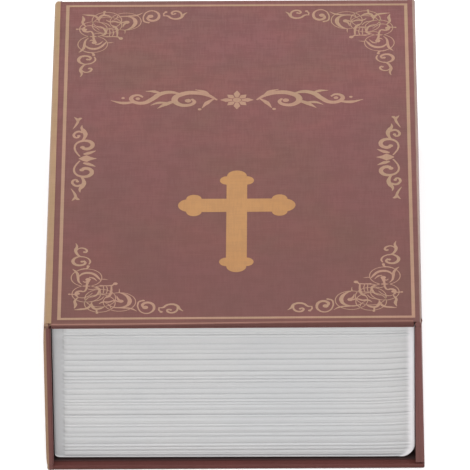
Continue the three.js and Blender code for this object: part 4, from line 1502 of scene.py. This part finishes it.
# %% [markdown]
# ## The cross
#
# The cross with budded ends is a common one: a bar each way, and three round buds at every end. It is the
# union of bars and discs, and a union is the natural tool, because it leaves one outline and no joints on the
# surface.

# %% Cross
cross_u, cross_top, cross_bottom = 58.6, 97.2, 152.8
cross_arm_y, cross_reach = 116.4, 18.2
upright_half, arm_half = 3.2, 3.6
upright_inset, arm_inset = 4.5, 4
upright_tip_bud, upright_side_bud, upright_side_place = 3.05, 2.3, (3.0, 5.5)
arm_tip_bud, arm_side_bud, arm_side_place = 3.5, 2.4, (4.9, 3.45)
on_top, half_line = Vector((0, 0, cover_top)), Vector((0, 0, line_thickness / 2))


def disc(u, y, radius):
    """A flat disc on the cover."""
    size = {"vertices": 48, "radius": radius * mm, "depth": line_thickness}
    return settled(added(bpy.ops.mesh.primitive_cylinder_add, location=on_cover(u, y) + on_top, **size))


def bar(u0, y0, u1, y1):
    """A flat bar on the cover."""
    return box_piece(on_cover(u0, y1) + on_top - half_line, on_cover(u1, y0) + on_top + half_line)


def budded_cross():
    """The bars and buds of the cross, joined to one outline."""
    left, right = cross_u - cross_reach + arm_inset, cross_u + cross_reach - arm_inset
    top, bottom = cross_top + upright_inset, cross_bottom - upright_inset
    piece = bar(cross_u - upright_half, top, cross_u + upright_half, bottom)
    parts = [bar(left, cross_arm_y - arm_half, right, cross_arm_y + arm_half)]
    across, along = upright_side_place
    for tip, inward in ((cross_top, 1), (cross_bottom, -1)):
        parts.append(disc(cross_u, tip + inward * upright_tip_bud, upright_tip_bud))
        parts += [disc(cross_u + side * across, tip + inward * along, upright_side_bud) for side in (-1, 1)]
    along, across = arm_side_place
    for side in (-1, 1):
        parts.append(disc(cross_u + side * (cross_reach - arm_tip_bud), cross_arm_y, arm_tip_bud))
        bud_u = cross_u + side * (cross_reach - along)
        parts += [disc(bud_u, cross_arm_y + up * across, arm_side_bud) for up in (-1, 1)]
    combined(piece, parts, "UNION")
    return finished(piece, "cross", ink_cross, "front_cover")


budded_cross()

# %% [markdown]
# ## A divider in the upper half
#
# A common running ornament fills the upper half, in the same ink as the corners: a rosette between two arms
# of scrolls. It is drawn with the corners' strokes, and one arm is described and then mirrored.

# %% Divider
# Places of the right arm are in millimetres from the divider's middle: to the right, and up.
divider_y = 57.5
divider_half = 39.7
divider_arm = [
    tapered([(6.2, 0.0), (9.0, 2.6), (13.0, 4.2), (17.0, 3.6), (19.6, 0.9), (18.6, -2.0), (15.6, -2.9),
             (13.4, -1.2), (14.2, 0.7)], 0.3, 0.7, 1.0, 1.05, 1.0, 0.9, 0.75, 0.6, 0.4),
    ball((15.4, -0.3), 1.0),
    tapered([(17.6, 3.4), (21.0, 4.6), (24.2, 3.6), (26.6, 0.8), (29.6, -1.5), (32.6, -0.6), (33.2, 1.8),
             (31.2, 3.0), (29.6, 1.8)], 0.3, 0.8, 0.95, 0.9, 0.85, 0.75, 0.65, 0.5, 0.35),
    ball((31.2, 1.0), 0.75),
    tapered([(19.4, -0.4), (22.4, -2.2), (25.0, -4.6)], 0.6, 0.85, 0.1),
    tapered([(21.6, -1.6), (24.6, -1.4), (27.2, -2.8)], 0.4, 0.6, 0.1),
    tapered([(8.4, 2.2), (10.2, 4.6), (13.2, 6.0)], 0.3, 0.7, 0.1),
    tapered([(7.4, 0.6), (9.4, -1.6), (11.0, -4.6)], 0.3, 0.8, 0.1),
    tapered([(23.8, 3.8), (26.0, 5.0), (28.8, 5.2)], 0.3, 0.65, 0.1),
    tapered([(32.4, -0.9), (35.8, -1.4), (divider_half, 0.0)], 0.5, 0.75, 0.1),
    ball((11.7, -5.2), 0.6),
    ball((35.9, 1.4), 0.55),
]
long_petal, short_petal = 5.2, 4.2
rosette = [ball((0.0, 0.0), 1.35)]
for petal in range(8):
    turn = petal * math.pi / 4
    reach = long_petal if petal % 2 == 0 else short_petal
    distances = (1.5, 0.66 * reach, reach)
    points = [(distance * math.cos(turn), distance * math.sin(turn)) for distance in distances]
    rosette.append(tapered(points, 0.5, 1.05, 0.1))
divider_strokes = divider_arm + moved(divider_arm, lambda s, t: (-s, t)) + rosette
printed(moved(divider_strokes, lambda s, t: (print_centre_u + s, divider_y - t)), "divider")

# %% [markdown]
# ## The spine's print
#
# The photograph doesn't show the spine's face. A bookbinder divides it into panels with double rules, and
# sets a small ornament in each, so that is what it gets, from the same strokes and in the same ink.

# %% Spine print
spine_middle, spine_rule_reach = 27.5, 21.0
book_length, book_middle = 180.0, 90.0
spine_outer = spine_low.x - 0.275 * mm
arm_share = 0.72


def printed_on_spine(strokes, name):
    """Draws strokes given as millimetres off the head and up the spine, and lays them on the spine's face."""
    piece = drawn(moved(strokes, lambda y, up: (up * mm, head - y * mm)))
    piece.rotation_euler = (0, -math.pi / 2, 0)
    piece.location = (spine_outer, 0, 0)
    return finished(piece, name, ink_lines, "case")


rules = []
for y, half_width in ((9.0, 0.55), (11.2, 0.22), (51.8, 0.22), (54.0, 0.55)):
    for place in (y, book_length - y):
        ends = (spine_middle - spine_rule_reach, spine_middle, spine_middle + spine_rule_reach)
        rules.append(([(place, up) for up in ends], [half_width] * 3))
printed_on_spine(rules, "spine_rules")
divider = moved(divider_strokes, lambda s, t: (book_middle + s * arm_share, spine_middle + t))
printed_on_spine(divider, "spine_divider")
for centre_y, word in ((31.5, "head"), (148.5, "tail")):
    printed_on_spine(moved(rosette, lambda s, t: (centre_y + s, spine_middle + t)), "spine_rosette_" + word)
bpy.data.objects.remove(profile)

# %% [markdown]
# ## The stage
#
# A white floor and soft light from above and in front, as in a product photograph. The floor adds a little
# light of its own to camera rays only, which brings it to white while it still takes the book's shadow.

# %% Floor
floor_white, plain_white = (0.86, 0.86, 0.86, 1), (1, 1, 1, 1)
floor_glow = 0.46
floor = added(bpy.ops.mesh.primitive_plane_add, size=12, location=(0, 0, -0.2 * mm))
floor.name = "floor"
white, tree, shader, _ = new_material("white_floor")


def seen_share(tree):
    """1 where a ray shows the background: straight, in a gloss or through glass."""
    rays = node(tree, "LightPath").outputs
    mirrored = maths(tree, "MAXIMUM", rays["Is Glossy Ray"], rays["Is Transmission Ray"])
    return maths(tree, "MAXIMUM", rays["Is Camera Ray"], mirrored)


feed(tree, shader, {"Base Color": floor_white, "Roughness": 0.9, "Specular IOR Level": 0.0})
glow = maths(tree, "MULTIPLY", seen_share(tree), floor_glow)
feed(tree, shader, {"Emission Color": plain_white, "Emission Strength": glow})
floor.data.materials.append(white)

# %% Lights
room_light = 0.52
surroundings = bpy.data.worlds.new("surroundings")
bpy.context.scene.world = surroundings
surroundings.use_nodes = True
tree = surroundings.node_tree
strength = maths(tree, "MULTIPLY_ADD", seen_share(tree), 1.0 - room_light, room_light)
feed(tree, tree.nodes["Background"], {"Color": plain_white, "Strength": strength})


def softbox(name, place, aim, size, power):
    """A square area light that looks at a point."""
    made = added(bpy.ops.object.light_add, type="AREA", location=place)
    made.name = name
    made.data.size = size
    made.data.energy = power
    made.rotation_euler = (Vector(aim) - Vector(place)).to_track_quat("-Z", "Y").to_euler()
    return made


key = softbox("key", (-0.1, -0.9, 2.0), (0, 0, 0), 1.5, 22)
front = softbox("front", (0.1, -2.2, 0.9), (0, 0, 0.03), 1.0, 14)
fill = softbox("fill", (1.6, -0.2, 0.8), (0, 0, 0.03), 0.9, 6)
behind = softbox("behind", (-1.8, 1.5, 0.6), (0, 0, 0.02), 1.0, 5)
